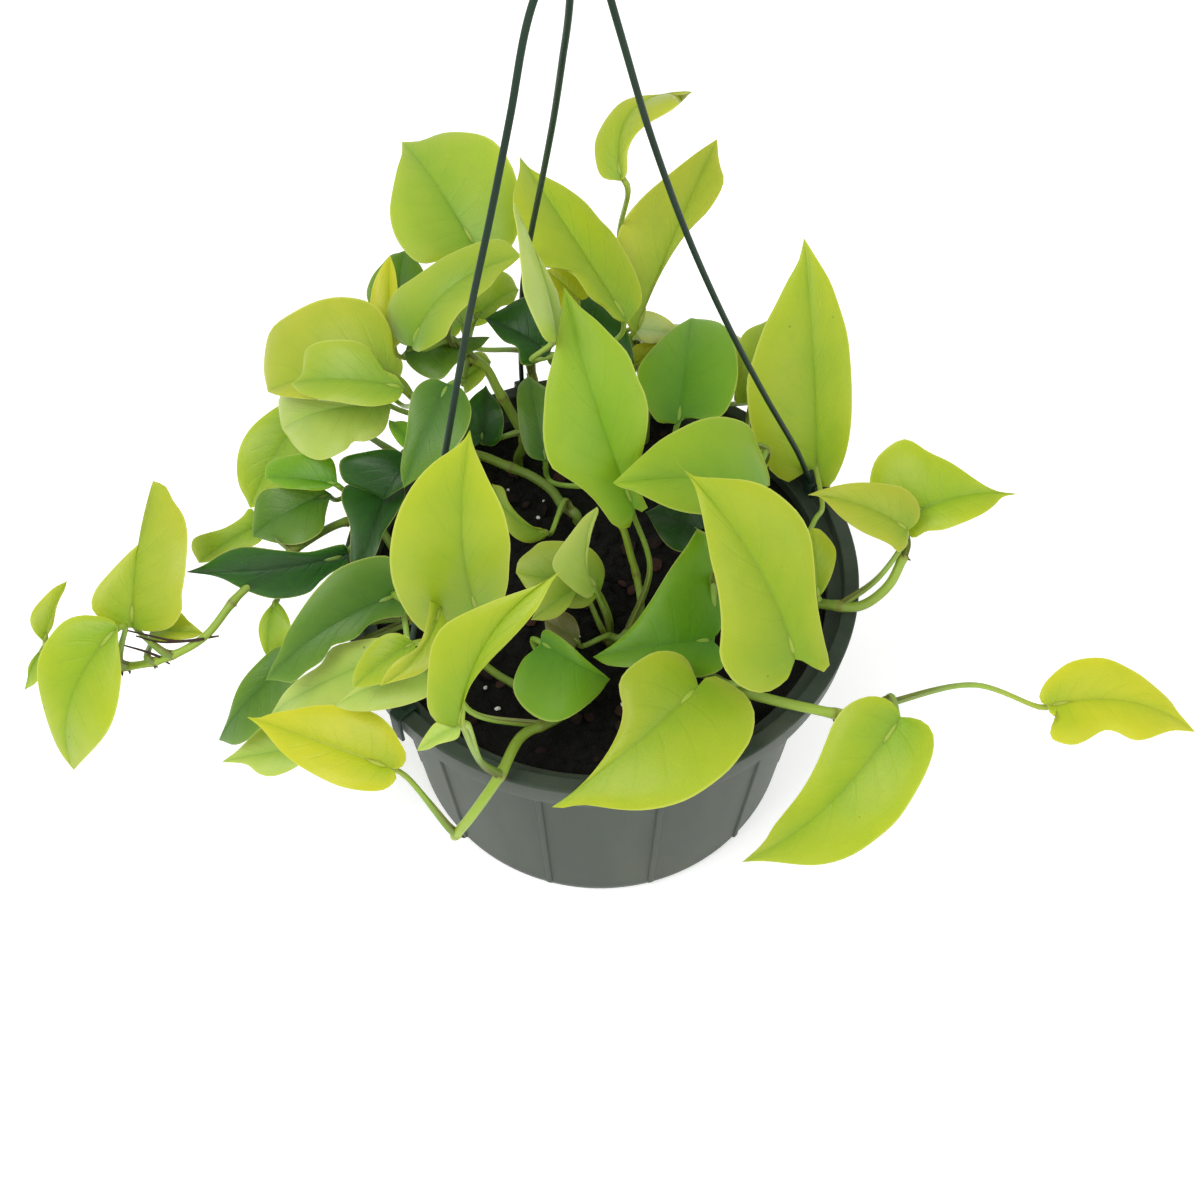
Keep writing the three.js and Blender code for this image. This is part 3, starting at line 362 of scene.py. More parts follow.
class Tone(Enum):
    """The leaf colours: heart of the blade, its margin and tip, and its underside. The darker tones are
    partly painted shade, and the near-white tone is a painted highlight.
    """

    NEON = (linear(131, 154, 25), linear(155, 167, 31), linear(145, 158, 63))
    LIME = (linear(138, 155, 36), linear(162, 166, 46), linear(152, 158, 73))
    YELLOW = (linear(166, 170, 24), linear(180, 177, 30), linear(166, 168, 55))
    FRESH = (linear(122, 150, 39), linear(151, 168, 48), linear(151, 164, 75))
    GRASS = (linear(116, 154, 24), linear(140, 167, 31), linear(134, 159, 60))
    # MOSS, SAGE, DEEP and OLIVE are partly painted shade: besides a leaf's own darker green, they darken
    # leaves that lie in the shade of others.
    MOSS = (linear(78, 128, 12), linear(110, 152, 18), linear(124, 152, 32))
    PALE = (linear(151, 173, 74), linear(167, 183, 86), linear(163, 181, 99))
    SAGE = (linear(60, 98, 26), linear(88, 122, 38), linear(98, 126, 52))
    DEEP = (linear(20, 54, 12), linear(36, 74, 18), linear(56, 96, 32))
    OLIVE = (linear(96, 98, 46), linear(118, 112, 62), linear(126, 120, 80))
    # A near-white tint for a leaf washed out by glare: a painted highlight.
    PAINTED_HIGHLIGHT = (linear(186, 200, 150), linear(196, 200, 96), linear(192, 200, 158))


STALK_GREEN = linear(138, 172, 58)
VINE_GREEN = linear(148, 174, 46)
DRY_BROWN = linear(112, 78, 44)
ROOT_BROWN = linear(58, 38, 24)
WHITE = (1.0, 1.0, 1.0)


def outline(steps: np.ndarray, lobe: float) -> np.ndarray:
    """Half a blade's outline from the notch round its lobe to the tip.

    Two cubic Bezier arcs that meet at the widest place: x is a share of the midrib and y a share
    of the half width.

    Args:
        steps: Positions from 0 at the notch to 1 at the tip.
        lobe: How far the lobe reaches behind the notch, as a share of the midrib.

    Returns:
        An (x, y) pair for each step.
    """
    lobe_share = 0.45
    near = np.array([[0, 0], [-lobe, 0.28], [-0.7 * lobe, 1], [0.3, 1]])
    far = np.array([[0.3, 1], [0.62, 1], [0.8, 0.22], [1, 0]])
    low = steps < lobe_share
    share = np.where(low, steps / lobe_share, (steps - lobe_share) / (1 - lobe_share))[:, None]
    weights = [(1 - share) ** 3, 3 * share * (1 - share) ** 2, 3 * share**2 * (1 - share), share**3]
    arcs = [sum(w * p for w, p in zip(weights, arc)) for arc in (near, far)]
    return np.where(low[:, None], arcs[0], arcs[1])


Rim = tuple[tuple[float, float], ...]


@dataclass(frozen=True)
class RibFrame:
    """Places on a midrib with the directions along, across and out of the blade there."""

    place: np.ndarray
    run: np.ndarray
    side: np.ndarray
    face: np.ndarray


@dataclass(frozen=True)
class Leaf:
    """One leaf: where its notch and tip are, how its blade is bent, and where its stalk springs."""

    base: np.ndarray
    tip: np.ndarray
    wide: float
    start: float
    arch: float = 6.0
    sway: float = 0.0
    roll: float = 0.0
    twist: float = 0.0
    fold: float = 12.0
    lobe: float = 0.17
    left: float = 1.0
    right: float = 1.0
    leave: np.ndarray | None = None
    climb: float = 0.9
    approach: float = 0.28
    via: np.ndarray | None = None
    tone: Tone = Tone.NEON
    right_rim: Rim = ()
    left_rim: Rim = ()

    ROWS = 30
    LANES = np.array([0.0, 0.035, 0.09, 0.19, 0.34, 0.5, 0.66, 0.8, 0.92, 0.985, 1.0])
    THICKNESS = 0.6
    NOTCH = 0.04
    GUESSES = 14
    ROW_CROWDING = 0.75
    SIDE_VEINS = 8
    VEIN_SWEEP = 1.3
    SWELL = 0.16
    RIPPLE = 0.12
    WAVE = 0.9
    WAVES = 1.6
    CURL = 0.035
    CURL_START = 0.75
    FADE_IN = 8
    RIB_WIDTH = 1.4
    RIB_TAPER = 0.75
    LEAST_REACH = 3.0
    GROOVE = 0.5
    RIDGE = 0.9
    MARGIN_THINNING = 0.4
    STALK_RADIUS = 1.35
    STALK_STATIONS = (0, 0.12, 0.4, 0.8, 0.88, 0.94, 1)
    STALK_GIRTHS = (1.5, 1.25, 1, 0.92, 1.12, 0.95, 0.45)
    WING_ANGLE = 0.55
    WING_WIDTH = 0.22
    WING_RISE = 0.42
    CHANNEL_DEPTH = 0.3
    CHANNEL_WIDTH = 0.3

    @property
    def length(self) -> float:
        """The straight distance from notch to tip."""
        return float(np.linalg.norm(self.tip - self.base))

    def rib(self, shares: np.ndarray) -> RibFrame:
        """The midrib's frames at shares of its length.

        The rib leaves its chord by a parabola, outwards by the arch and sideways by the sway, and
        the blade turns about it by the twist.
        """
        u = np.asarray(shares, dtype=float)[..., None]
        along = unit(self.tip - self.base)
        across = spin(unit(np.cross(along, SUNWARD)), along, math.radians(self.roll))
        out = np.cross(across, along)
        bend, slope = 4 * u * (1 - u), 4 * (1 - 2 * u)
        place = self.base + along * u * self.length + out * self.arch * bend + across * self.sway * bend
        run = unit(along * self.length + out * self.arch * slope + across * self.sway * slope)
        side = unit(across - run * (run @ across)[..., None])
        side = spin(side, run, math.radians(self.twist) * u[..., 0])
        return RibFrame(place, run, side, np.cross(side, run))

    def margin(self, hand: float, steps: np.ndarray) -> tuple[np.ndarray, RibFrame]:
        """One half's margin from notch to tip, and the rib's frames beside it.

        Where the half's rim is given as pixels, each point is where its line of sight meets the
        half's own surface, found by meeting the plane at the rib beside the last guess. Otherwise
        the margin is the general outline at the half's width.

        Args:
            hand: 1 for the right half, seen from above towards the tip, and -1 for the left.
            steps: Positions along the margin from 0 at the notch to 1 at the tip.

        Returns:
            The margin's points and the frames.
        """
        fold = math.radians(self.fold)
        rim = self.right_rim if hand > 0 else self.left_rim
        if not rim:
            edge = outline(steps, self.lobe)
            far = self.rib(edge[:, 0])
            reach = (self.wide / 2 * (self.right if hand > 0 else self.left) * edge[:, 1])[:, None]
            return far.place + reach * (hand * math.cos(fold) * far.side + math.sin(fold) * far.face), far
        line = SmoothLine([shown(self.base), *(np.array(pixel) for pixel in rim), shown(self.tip)])
        rays = sights(line.along(steps))
        along = unit(self.tip - self.base)
        shares = np.clip(steps, 0.0, 1.0)
        for _ in range(self.GUESSES):
            far = self.rib(shares)
            out = hand * math.cos(fold) * far.side + math.sin(fold) * far.face
            normal = np.cross(far.run, out)
            reach = np.sum((far.place - EYE) * normal, axis=1) / np.sum(rays * normal, axis=1)
            points = EYE + rays * reach[:, None]
            shares = (shares + np.clip((points - self.base) @ along / self.length, -0.5, 1.0)) / 2
        return points, far

    def blade(self, phase: float) -> Patch:
        """The blade as one thin closed body with a groove, veins and a waving margin.

        Rows run from rib to margin the way the side veins do. Between them each half swells by a
        parabola, the veins ripple it by a sine, and the margin waves by a slower sine whose height
        grows with the square of the distance from the rib.

        Args:
            phase: Where the margin's wave starts, so that no two leaves wave alike.

        Returns:
            The blade's patch.
        """
        steps = np.linspace(0, 1, self.ROWS + 1)
        rib = self.rib((1 - self.ROW_CROWDING) * steps + self.ROW_CROWDING * steps**2)
        lanes = self.LANES
        tops, bottoms = [], []
        for hand in (1.0, -1.0):
            margin, far = self.margin(hand, steps)
            reach = np.linalg.norm(margin - rib.place, axis=1)[:, None]
            inner = np.minimum(reach / self.wide * self.FADE_IN, 1.0)
            share = lanes[None, :, None]
            line = rib.place[:, None] * (1 - share) + margin[:, None] * share
            swell = self.SWELL * reach * lanes * (1 - lanes)
            veins = np.sin(TAU * (self.SIDE_VEINS * steps[:, None] - self.VEIN_SWEEP * lanes))
            ripple = self.RIPPLE * veins * 4 * lanes * (1 - lanes)
            wave = self.WAVE * lanes**2 * np.sin(TAU * (self.WAVES * steps[:, None] + phase) + hand) * inner
            curl = -self.CURL * reach * smoothstep(self.CURL_START, 1.0, lanes)
            lift = swell + ripple * inner + wave + curl
            rib_width = self.RIB_WIDTH / np.maximum(reach, self.LEAST_REACH)
            taper = (1 - self.RIB_TAPER * steps)[:, None]
            bell = np.exp(-((lanes / rib_width) ** 2))
            groove, ridge = self.GROOVE * taper * bell, self.RIDGE * taper * bell
            thin = self.THICKNESS / 2 * (1 - self.MARGIN_THINNING * lanes**4)
            face = unit(rib.face[:, None] * (1 - share) + far.face[:, None] * share)
            tops.append(line + face * (lift + (thin - groove * inner))[..., None])
            bottoms.append(line + face * (lift - (thin + ridge * inner))[..., None])
        right_first = [np.flip(tops[0], 1), tops[1][:, 1:], np.flip(bottoms[1], 1), bottoms[0][:, 1:]]
        rings = np.concatenate(right_first, axis=1)
        rings[[0, -1], : 2 * len(lanes) - 1] = rings[[0, -1], :1]
        rings[[0, -1], 2 * len(lanes) - 1 :] = rings[[0, -1], -1:]
        spread = np.concatenate([lanes[::-1], -lanes[1:]])
        across = np.concatenate([spread, spread[::-1]])
        uv = np.stack(np.broadcast_arrays(steps[:, None], 0.5 + 0.5 * across[None]), axis=-1)
        under = np.broadcast_to(np.arange(len(across)) >= len(spread), uv.shape[:2]).astype(float)
        patch = Patch(
            rings.reshape(-1, 3),
            grid_quads(rings.shape[0], rings.shape[1], True),
            uv.reshape(-1, 2),
            self.blade_tint(steps, np.abs(across), under).reshape(-1, 3),
            0,
            under.reshape(-1),
        )
        return patch.welded()

    def blade_tint(self, steps: np.ndarray, across: np.ndarray, under: np.ndarray) -> np.ndarray:
        """The blade's broad colours: the heart's near rib and notch, the margin's at rim and tip."""
        heart, margin, pale = (np.array(colour) for colour in self.tone.value)
        outwards = np.clip(0.75 * across[None] ** 1.6 + 0.55 * steps[:, None] ** 2, 0, 1)[..., None]
        top = heart * (1 - outwards) + margin * outwards
        return top * (1 - under[..., None]) + pale * under[..., None]

    def stalk_line(self, vine: SmoothLine) -> SmoothLine:
        """The stalk's course: off the vine, up beneath the notch and on under the midrib."""
        notch, end = (
            self.rib(np.array(share))
            for share in (self.NOTCH, self.NOTCH + min(9.0 / self.length, 0.12))
        )
        start = vine.along(np.array([self.start]))[0]
        forward = vine.tangent(self.start)
        leave = forward * 0.4 + UP * 0.6 if self.leave is None else unit(self.leave)
        span = float(np.linalg.norm(start - notch.place))
        arrive = unit(notch.run * 0.8 + notch.face * self.climb)
        under = self.STALK_RADIUS * 0.7
        return SmoothLine([
            start,
            start + leave * span * 0.33 if self.via is None else self.via,
            notch.place - arrive * span * self.approach,
            notch.place - notch.face * under,
            end.place - end.face * under,
        ])

    def stalk(self, vine: SmoothLine) -> Patch:
        """The petiole: a sheath with two dry-edged wings, a slim shank and a knuckle at the blade."""
        line = self.stalk_line(vine)
        share = np.linspace(0, 1, 34)
        turn = np.linspace(0, TAU, 14, endpoint=False)
        radius = self.STALK_RADIUS * np.interp(share, self.STALK_STATIONS, self.STALK_GIRTHS)
        wing = (1 - smoothstep(0.2, 0.5, share))[:, None]
        away = np.abs(np.angle(np.exp(1j * turn)))[None]
        lips = np.exp(-(((away - self.WING_ANGLE) / self.WING_WIDTH) ** 2))
        channel = np.exp(-((away / self.CHANNEL_WIDTH) ** 2))
        grow = 1 + wing * (self.WING_RISE * lips - self.CHANNEL_DEPTH * channel)
        section = round_section(radius, len(turn)) * grow[..., None]
        dry = (0.85 * wing * lips)[..., None]
        pale = (0.5 * smoothstep(0.3, 0.9, share))[:, None, None]
        green = np.array(STALK_GREEN) * (1 - pale) + np.array(self.tone.value[1]) * pale
        # Darkened towards its foot on the vine, down to 0.6: painted shade among the leaves near the soil.
        green = green * (0.6 + 0.4 * smoothstep(0.0, 0.6, share))[:, None, None]
        return tube(line.along(share), section, green * (1 - dry) + np.array(DRY_BROWN) * dry, 1)


@dataclass(frozen=True)
class Stem:
    """A rooted stem or vine with the leaves that it carries."""

    root: np.ndarray
    vine: tuple[np.ndarray, ...]
    leaves: tuple[Leaf, ...]
    roots: tuple[tuple[np.ndarray, ...], ...] = ()
    radius: float = 2.5

    SOIL_EDGE = 145.0
    SOIL_CROWN = 149.0
    ROOT_DEPTH = 22.0
    SIDES = 16
    NODE_START = 20.0
    NODE_SPACING = 35.0
    NODE_CLEARANCE = 14
    NODE_SWELL = 0.2
    NODE_WIDTH = 2.6
    RING_STRENGTH = 0.6
    RING_WIDTH = 0.9

    def line(self) -> SmoothLine:
        """The vine's course above the soil, on which the stalks are placed."""
        feet = [np.array([*self.root[:2], height]) for height in (self.SOIL_EDGE, self.SOIL_CROWN + 5)]
        return SmoothLine([*feet, *self.vine])

    def node_shares(self) -> np.ndarray:
        """Where the vine's nodes are: at each stalk, and about every 35 mm between."""
        shares = [leaf.start for leaf in self.leaves]
        length = self.line().length
        for step in np.arange(self.NODE_START, length, self.NODE_SPACING) / length:
            if all(abs(step - share) * length > self.NODE_CLEARANCE for share in shares):
                shares.append(float(step))
        return np.array(sorted(set(shares)))

    def stalk(self) -> Patch:
        """The vine itself: a round stem, thicker with a brown ring at each node."""
        line = self.line()
        share = np.linspace(0, 1, int(line.length / 1.4) + 12)
        deep = np.array([*self.root[:2], self.SOIL_CROWN - self.ROOT_DEPTH])
        places = np.vstack([deep, line.along(share)])
        share = np.concatenate([[0.0], share])
        gap = np.abs(share[:, None] - self.node_shares()[None]).min(axis=1) * line.length
        swell = 1 + self.NODE_SWELL * np.exp(-((gap / self.NODE_WIDTH) ** 2))
        close = 1 - 0.55 * smoothstep(0.985, 1.0, share)
        radius = self.radius * swell * close * np.interp(share, [0, 1], [1.03, 0.9])
        section = round_section(radius, self.SIDES)
        ring = (self.RING_STRENGTH * np.exp(-((gap / self.RING_WIDTH) ** 2)))[:, None, None]
        # Near the soil the vine is darkened to 0.55 of the stalk green: painted shade under the leaves. The
        # change from stalk green to vine green along it is its own colour.
        out_of_shade = smoothstep(0.1, 1.0, share)[:, None, None]
        green = np.array(STALK_GREEN) * 0.55 * (1 - out_of_shade) + np.array(VINE_GREEN) * out_of_shade
        browned = green * (1 - ring) + np.array(DRY_BROWN) * ring
        colours = np.broadcast_to(browned, (len(share), self.SIDES, 3))
        return tube(places, section, colours, 1)

    def nubs(self, draw: np.random.Generator) -> list[Patch]:
        """Short brown root nubs on the lower side of each node, and the longer aerial roots."""
        line = self.line()
        found = []
        for share in self.node_shares():
            place, run = line.along(np.array([share]))[0], line.tangent(share)
            for turn in draw.uniform(-1.2, 1.2, 2):
                down = unit(-UP + run * (run @ UP))
                way = spin(down, run, float(turn))
                reach = draw.uniform(0.6, 2.0)
                steps = np.linspace(0, 1, 5)
                course = place + way * (self.radius * 0.8 + reach * 1.6 * steps)[:, None]
                section = round_section(np.interp(steps, [0, 0.6, 1], [0.75, 0.55, 0.15]), 7)
                found.append(tube(course, section, flat_tint(ROOT_BROWN, (5, 7)), 2))
        for places in self.roots:
            course = SmoothLine(list(places)).along(np.linspace(0, 1, 16))
            section = round_section(np.linspace(0.75, 0.4, 16), 8)
            found.append(tube(course, section, flat_tint(ROOT_BROWN, (16, 8)), 2))
        return found

    def patches(self, draw: np.random.Generator) -> list[Patch]:
        """Everything on the stem: vine, stalks, blades and roots."""
        line = self.line()
        found = [self.stalk()]
        for leaf in self.leaves:
            found.append(leaf.stalk(line))
            found.append(leaf.blade(float(draw.uniform(0, 1))))
        return found + self.nubs(draw)


# Each stem: where it is rooted, the course of its vine above the soil, and the leaves it carries.
# A leaf starts with the places of its notch and its tip.
STEMS: dict[str, Stem] = {
    "vine_right": Stem(
        root=at(36, -58, 0),
        vine=(seen(700, 672, 160), seen(738, 690, 166), seen(808, 708, 167), seen(850, 714, 166),
              seen(895, 698, 165)),
        leaves=(
            Leaf(seen(698, 686, 190), seen(552, 807, 168), wide=62, start=0.35, arch=9, fold=6,
                 sway=-3, tone=Tone.NEON,
                 right_rim=((694, 670), (686, 657), (671, 651), (655, 652), (641, 659), (624, 673),
                            (619, 684), (623, 709), (620, 726), (611, 746), (600, 763), (585, 781),
                            (568, 796)),
                 left_rim=((705, 678), (714, 675), (736, 685), (749, 695), (756, 710), (756, 722),
                           (752, 738), (742, 754), (728, 771), (694, 796), (672, 805), (646, 810),
                           (621, 810), (580, 805), (562, 808))),
            Leaf(seen(901, 717, 171), seen(742, 862, 104), wide=60, start=0.96, arch=12, fold=8,
                 sway=-7, tone=Tone.NEON,
                 right_rim=((896, 707), (888, 700), (871, 696), (854, 701), (843, 709), (833, 723),
                            (826, 740), (815, 766), (801, 791), (784, 813), (773, 827), (766, 839),
                            (756, 850)),
                 left_rim=((908, 717), (916, 718), (927, 723), (934, 735), (934, 749), (930, 763),
                           (924, 777), (910, 802), (896, 822), (877, 839), (854, 855), (834, 863),
                           (812, 866), (770, 861), (753, 861))),
            Leaf(seen(1048, 706, 136), seen(1195, 732, 112), wide=42, start=0.9, arch=5, fold=8,
                 sway=-8, leave=at(1, 0, 0), approach=0.06, via=seen(975, 685, 150),
                 tone=Tone.YELLOW,
                 right_rim=((1051, 715), (1060, 718), (1057, 723), (1051, 727), (1051, 738),
                            (1073, 745), (1086, 741), (1106, 730), (1116, 731), (1134, 740),
                            (1144, 740), (1171, 731)),
                 left_rim=((1040, 700), (1044, 685), (1063, 666), (1076, 660), (1104, 658),
                           (1134, 670), (1147, 678), (1171, 700), (1178, 712))),
        ),
    ),
    "vine_rim_right": Stem(
        root=at(84, -22, 0),
        vine=(seen(806, 602, 162), seen(832, 605, 167), seen(860, 606, 168), seen(888, 586, 174),
              seen(905, 553, 183)),
        leaves=(
            Leaf(seen(905, 516, 192), seen(1017, 494, 196), wide=44, start=0.98, arch=8, fold=10,
                 sway=-2, tone=Tone.NEON,
                 right_rim=((907, 532), (913, 538), (926, 531), (944, 529), (981, 515), (995, 505),
                            (1003, 497)),
                 left_rim=((885, 505), (871, 492), (872, 468), (880, 453), (904, 438), (929, 451),
                           (951, 462), (981, 484), (997, 492))),
            Leaf(seen(908, 530, 203), seen(808, 495, 214), wide=32, start=0.5, arch=5, fold=10,
                 sway=2, via=seen(878, 578, 178), tone=Tone.LIME,
                 right_rim=((917, 521), (920, 509), (916, 497), (904, 487), (856, 483), (819, 490)),
                 left_rim=((907, 545), (898, 552), (890, 545), (863, 531), (840, 516), (819, 497))),
            Leaf(seen(818, 598, 178), seen(812, 529, 192), wide=20, start=0.35, arch=4, fold=8,
                 tone=Tone.NEON,
                 right_rim=((825, 590), (836, 549), (821, 531)),
                 left_rim=((808, 590), (803, 545))),
            Leaf(seen(817, 478, 166), seen(804, 238, 250), wide=56, start=0.14, arch=3, fold=8,
                 sway=1, climb=-0.6, via=seen(815, 520, 168), tone=Tone.NEON,
                 right_rim=((823, 489), (831, 486), (840, 471), (847, 451), (851, 425), (852, 399),
                            (851, 364), (848, 334), (840, 306), (830, 280), (815, 256)),
                 left_rim=((813, 470), (807, 462), (800, 461), (794, 468), (794, 481), (786, 482),
                           (771, 471), (760, 453), (752, 429), (748, 405), (747, 382), (752, 362),
                           (758, 343), (766, 323), (775, 306), (788, 280), (799, 260))),
        ),
    ),
    "vine_front": Stem(
        root=at(-4, -66, 0),
        vine=(seen(560, 716, 160), seen(522, 736, 165), seen(500, 775, 168), seen(472, 815, 150),
              seen(453, 838, 128)),
        leaves=(
            Leaf(seen(460, 732, 228), seen(566, 567, 285), wide=48, start=0.62, arch=6, fold=18,
                 sway=-10, roll=10, approach=0.06, via=seen(481, 762, 190), tone=Tone.NEON,
                 right_rim=((462, 720), (462, 708), (477, 672), (501, 650), (537, 609), (555, 577)),
                 left_rim=((448, 728), (434, 722), (427, 708), (427, 690), (428, 674), (432, 645),
                           (441, 628), (452, 620), (470, 611), (496, 600), (515, 593), (537, 585),
                           (554, 575))),
            Leaf(seen(390, 768, 168), seen(247, 717, 160), wide=44, start=0.96, arch=6, fold=8,
                 tone=Tone.YELLOW,
                 right_rim=((398, 769), (405, 763), (406, 753), (400, 742), (393, 729), (378, 715),
                            (358, 707), (337, 704), (313, 705), (291, 710), (272, 714), (259, 718)),
                 left_rim=((397, 776), (385, 789), (346, 788), (313, 774), (282, 753), (259, 726))),
            Leaf(seen(541, 642, 192), seen(610, 679, 172), wide=50, start=0.2, arch=5, fold=6,
                 sway=2, tone=Tone.MOSS,
                 right_rim=((534, 650), (524, 658), (513, 687), (520, 703), (537, 717), (554, 722),
                            (569, 718), (598, 694)),
                 left_rim=((541, 634), (545, 629))),
            Leaf(seen(430, 668, 200), seen(335, 706, 184), wide=34, start=0.36, arch=7, fold=8,
                 via=seen(470, 711, 176), tone=Tone.PALE,
                 right_rim=((418, 661), (346, 695)),
                 left_rim=((436, 690), (386, 709), (354, 711))),
            Leaf(seen(461, 724, 231), seen(417, 751, 222), wide=20, start=0.62, arch=2, fold=4,
                 approach=0.06, via=seen(481, 762, 190), tone=Tone.PALE,
                 right_rim=((456, 702), (440, 719), (431, 726)),
                 left_rim=((458, 737), (437, 745), (426, 750))),
        ),
    ),
    "vine_left": Stem(
        root=at(-96, -2, 0),
        vine=(seen(372, 522, 163), seen(345, 522, 168), seen(300, 546, 172), seen(240, 594, 165),
              seen(203, 638, 155), seen(160, 660, 148), seen(118, 668, 142)),
        radius=2.1,
        leaves=(
            Leaf(seen(347, 555, 176), seen(186, 572, 168), wide=36, start=0.2, arch=6, fold=8,
                 roll=-45, tone=Tone.DEEP,
                 right_rim=((347, 546), (309, 552), (280, 550), (241, 548), (222, 554), (204, 565)),
                 left_rim=((347, 565), (333, 572), (320, 583), (309, 594), (276, 599), (241, 588),
                           (221, 579))),
            Leaf(seen(132, 628, 158), seen(153, 481, 190), wide=46, start=0.85, arch=8, fold=16,
                 tone=Tone.LIME,
                 right_rim=((150, 632), (170, 628), (181, 610), (181, 596), (185, 573), (187, 535),
                            (183, 515), (172, 498), (165, 485)),
                 left_rim=((120, 626), (100, 618), (91, 607), (94, 591), (108, 573), (126, 555),
                           (143, 539), (153, 506), (151, 490))),
            Leaf(seen(118, 627, 172), seen(74, 770, 104), wide=52, start=0.97, arch=10, fold=8,
                 sway=7, tone=Tone.NEON,
                 right_rim=((112, 620), (80, 615), (62, 622), (43, 648), (37, 668), (41, 707),
                            (54, 743)),
                 left_rim=((119, 684), (110, 727))),
            Leaf(seen(44, 642, 150), seen(67, 581, 160), wide=18, start=0.99, arch=3, fold=14,
                 tone=Tone.LIME,
                 right_rim=((51, 628), (55, 614)),
                 left_rim=((35, 632), (30, 620), (33, 608), (51, 591))),
            Leaf(seen(150, 632, 146), seen(203, 633, 152), wide=26, start=0.9, arch=4, fold=6,
                 tone=Tone.LIME,
                 right_rim=((152, 641), (165, 641), (193, 638)),
                 left_rim=((175, 610), (190, 622))),
            Leaf(seen(262, 524, 160), seen(199, 563, 150), wide=30, start=0.45, arch=4, fold=8,
                 leave=at(-1, 0.8, 0.1), tone=Tone.FRESH,
                 right_rim=((250, 507), (242, 516), (225, 528), (192, 539), (190, 549)),
                 left_rim=((262, 540), (225, 554), (208, 562))),
            Leaf(seen(275, 600, 152), seen(268, 658, 134), wide=24, start=0.5, arch=4, fold=8,
                 tone=Tone.FRESH,
                 right_rim=((260, 621), (258, 634)),
                 left_rim=((282, 606), (291, 626), (289, 645), (278, 655))),
            Leaf(seen(42, 648, 146), seen(25, 690, 128), wide=12, start=0.98, arch=2, fold=6,
                 tone=Tone.FRESH,
                 right_rim=((33, 657), (28, 672)),
                 left_rim=((42, 662), (38, 681))),
        ),
        roots=(
            (seen(204, 639, 157), seen(176, 641, 156), seen(147, 635, 157), seen(121, 629, 158)),
            (seen(200, 640, 157), seen(160, 642, 155), seen(136, 636, 156)),
            (seen(160, 657, 151), seen(147, 652, 153), seen(123, 645, 155)),
            (seen(161, 659, 148), seen(170, 664, 147)),
            (seen(205, 638, 155), seen(219, 636, 155)),
        ),
    ),
    "stem_left_high": Stem(
        root=at(-76, 46, 0),
        vine=(at(-80, 50, 180), at(-88, 54, 205)),
        leaves=(
            Leaf(seen(396, 374, 238), seen(268, 392, 222), wide=62, start=0.95, arch=10, fold=6,
                 tone=Tone.LIME,
                 right_rim=((394, 355), (389, 326), (372, 303), (343, 295), (318, 298), (295, 309),
                            (271, 328), (265, 350), (264, 376)),
                 left_rim=((384, 386), (350, 397), (280, 396))),
            Leaf(seen(404, 388, 246), seen(291, 384, 242), wide=36, start=0.9, arch=8, fold=10,
                 tone=Tone.FRESH,
                 right_rim=((396, 376), (385, 370), (369, 347), (350, 340), (306, 348), (300, 374)),
                 left_rim=((398, 400), (378, 406), (343, 402), (314, 398), (299, 392))),
            Leaf(seen(392, 404, 222), seen(283, 430, 200), wide=50, start=0.8, arch=10, fold=8,
                 tone=Tone.PALE,
                 right_rim=((384, 400), (360, 402), (330, 402), (277, 395)),
                 left_rim=((384, 430), (366, 440), (352, 441), (347, 448), (322, 460), (306, 456),
                           (291, 444))),
            Leaf(at(-112, 92, 186), at(-150, 128, 160), wide=46, start=0.85, arch=6, fold=8,
                 tone=Tone.FRESH),
            Leaf(seen(416, 448, 226), seen(389, 420, 220), wide=14, start=0.85, arch=2, fold=6,
                 tone=Tone.MOSS,
                 right_rim=((419, 436), (412, 425)),
                 left_rim=((408, 451), (391, 432))),
            Leaf(seen(448, 384, 250), seen(404, 488, 222), wide=52, start=0.7, arch=5, fold=8,
                 tone=Tone.SAGE,
                 right_rim=((434, 378), (420, 384), (412, 396), (406, 430), (401, 470)),
                 left_rim=((462, 388), (471, 408), (467, 430), (454, 450))),
        ),
    ),
    "stem_left": Stem(
        root=at(-12, 34, 0),
        vine=(seen(563, 506, 154), seen(552, 491, 155), seen(533, 477, 156), seen(507, 466, 158),
              seen(478, 455, 162), seen(440, 452, 170), seen(404, 466, 182)),
        leaves=(
            Leaf(seen(305, 415, 190), seen(250, 508, 160), wide=38, start=0.97, arch=6, fold=10,
                 tone=Tone.FRESH,
                 right_rim=((290, 402), (256, 421), (240, 447), (238, 484)),
                 left_rim=((320, 430), (318, 460), (295, 490), (270, 503))),
            Leaf(seen(331, 494, 180), seen(253, 537, 166), wide=40, start=0.95, arch=8, fold=10,
                 tone=Tone.SAGE,
                 right_rim=((320, 487), (280, 488), (262, 490), (254, 500)),
                 left_rim=((326, 513), (323, 528), (300, 544), (275, 543))),
            Leaf(seen(338, 484, 196), seen(266, 478, 190), wide=34, start=0.96, arch=4, fold=8,
                 tone=Tone.MOSS,
                 right_rim=((331, 458), (285, 455), (268, 463)),
                 left_rim=((325, 489), (280, 487))),
            Leaf(seen(409, 459, 206), seen(384, 500, 194), wide=42, start=0.98, arch=5, fold=8,
                 tone=Tone.DEEP,
                 right_rim=((395, 451), (370, 450), (339, 461), (343, 480), (361, 489)),
                 left_rim=((414, 463), (407, 482))),
            Leaf(seen(392, 484, 188), seen(358, 575, 176), wide=42, start=0.99, arch=6, fold=14,
                 tone=Tone.DEEP,
                 right_rim=((346, 484), (341, 497), (350, 527), (350, 562)),
                 left_rim=((403, 487), (405, 496), (383, 534), (378, 550), (370, 564))),
            Leaf(seen(549, 533, 168), seen(492, 484, 186), wide=22, start=0.1, arch=3, fold=6,
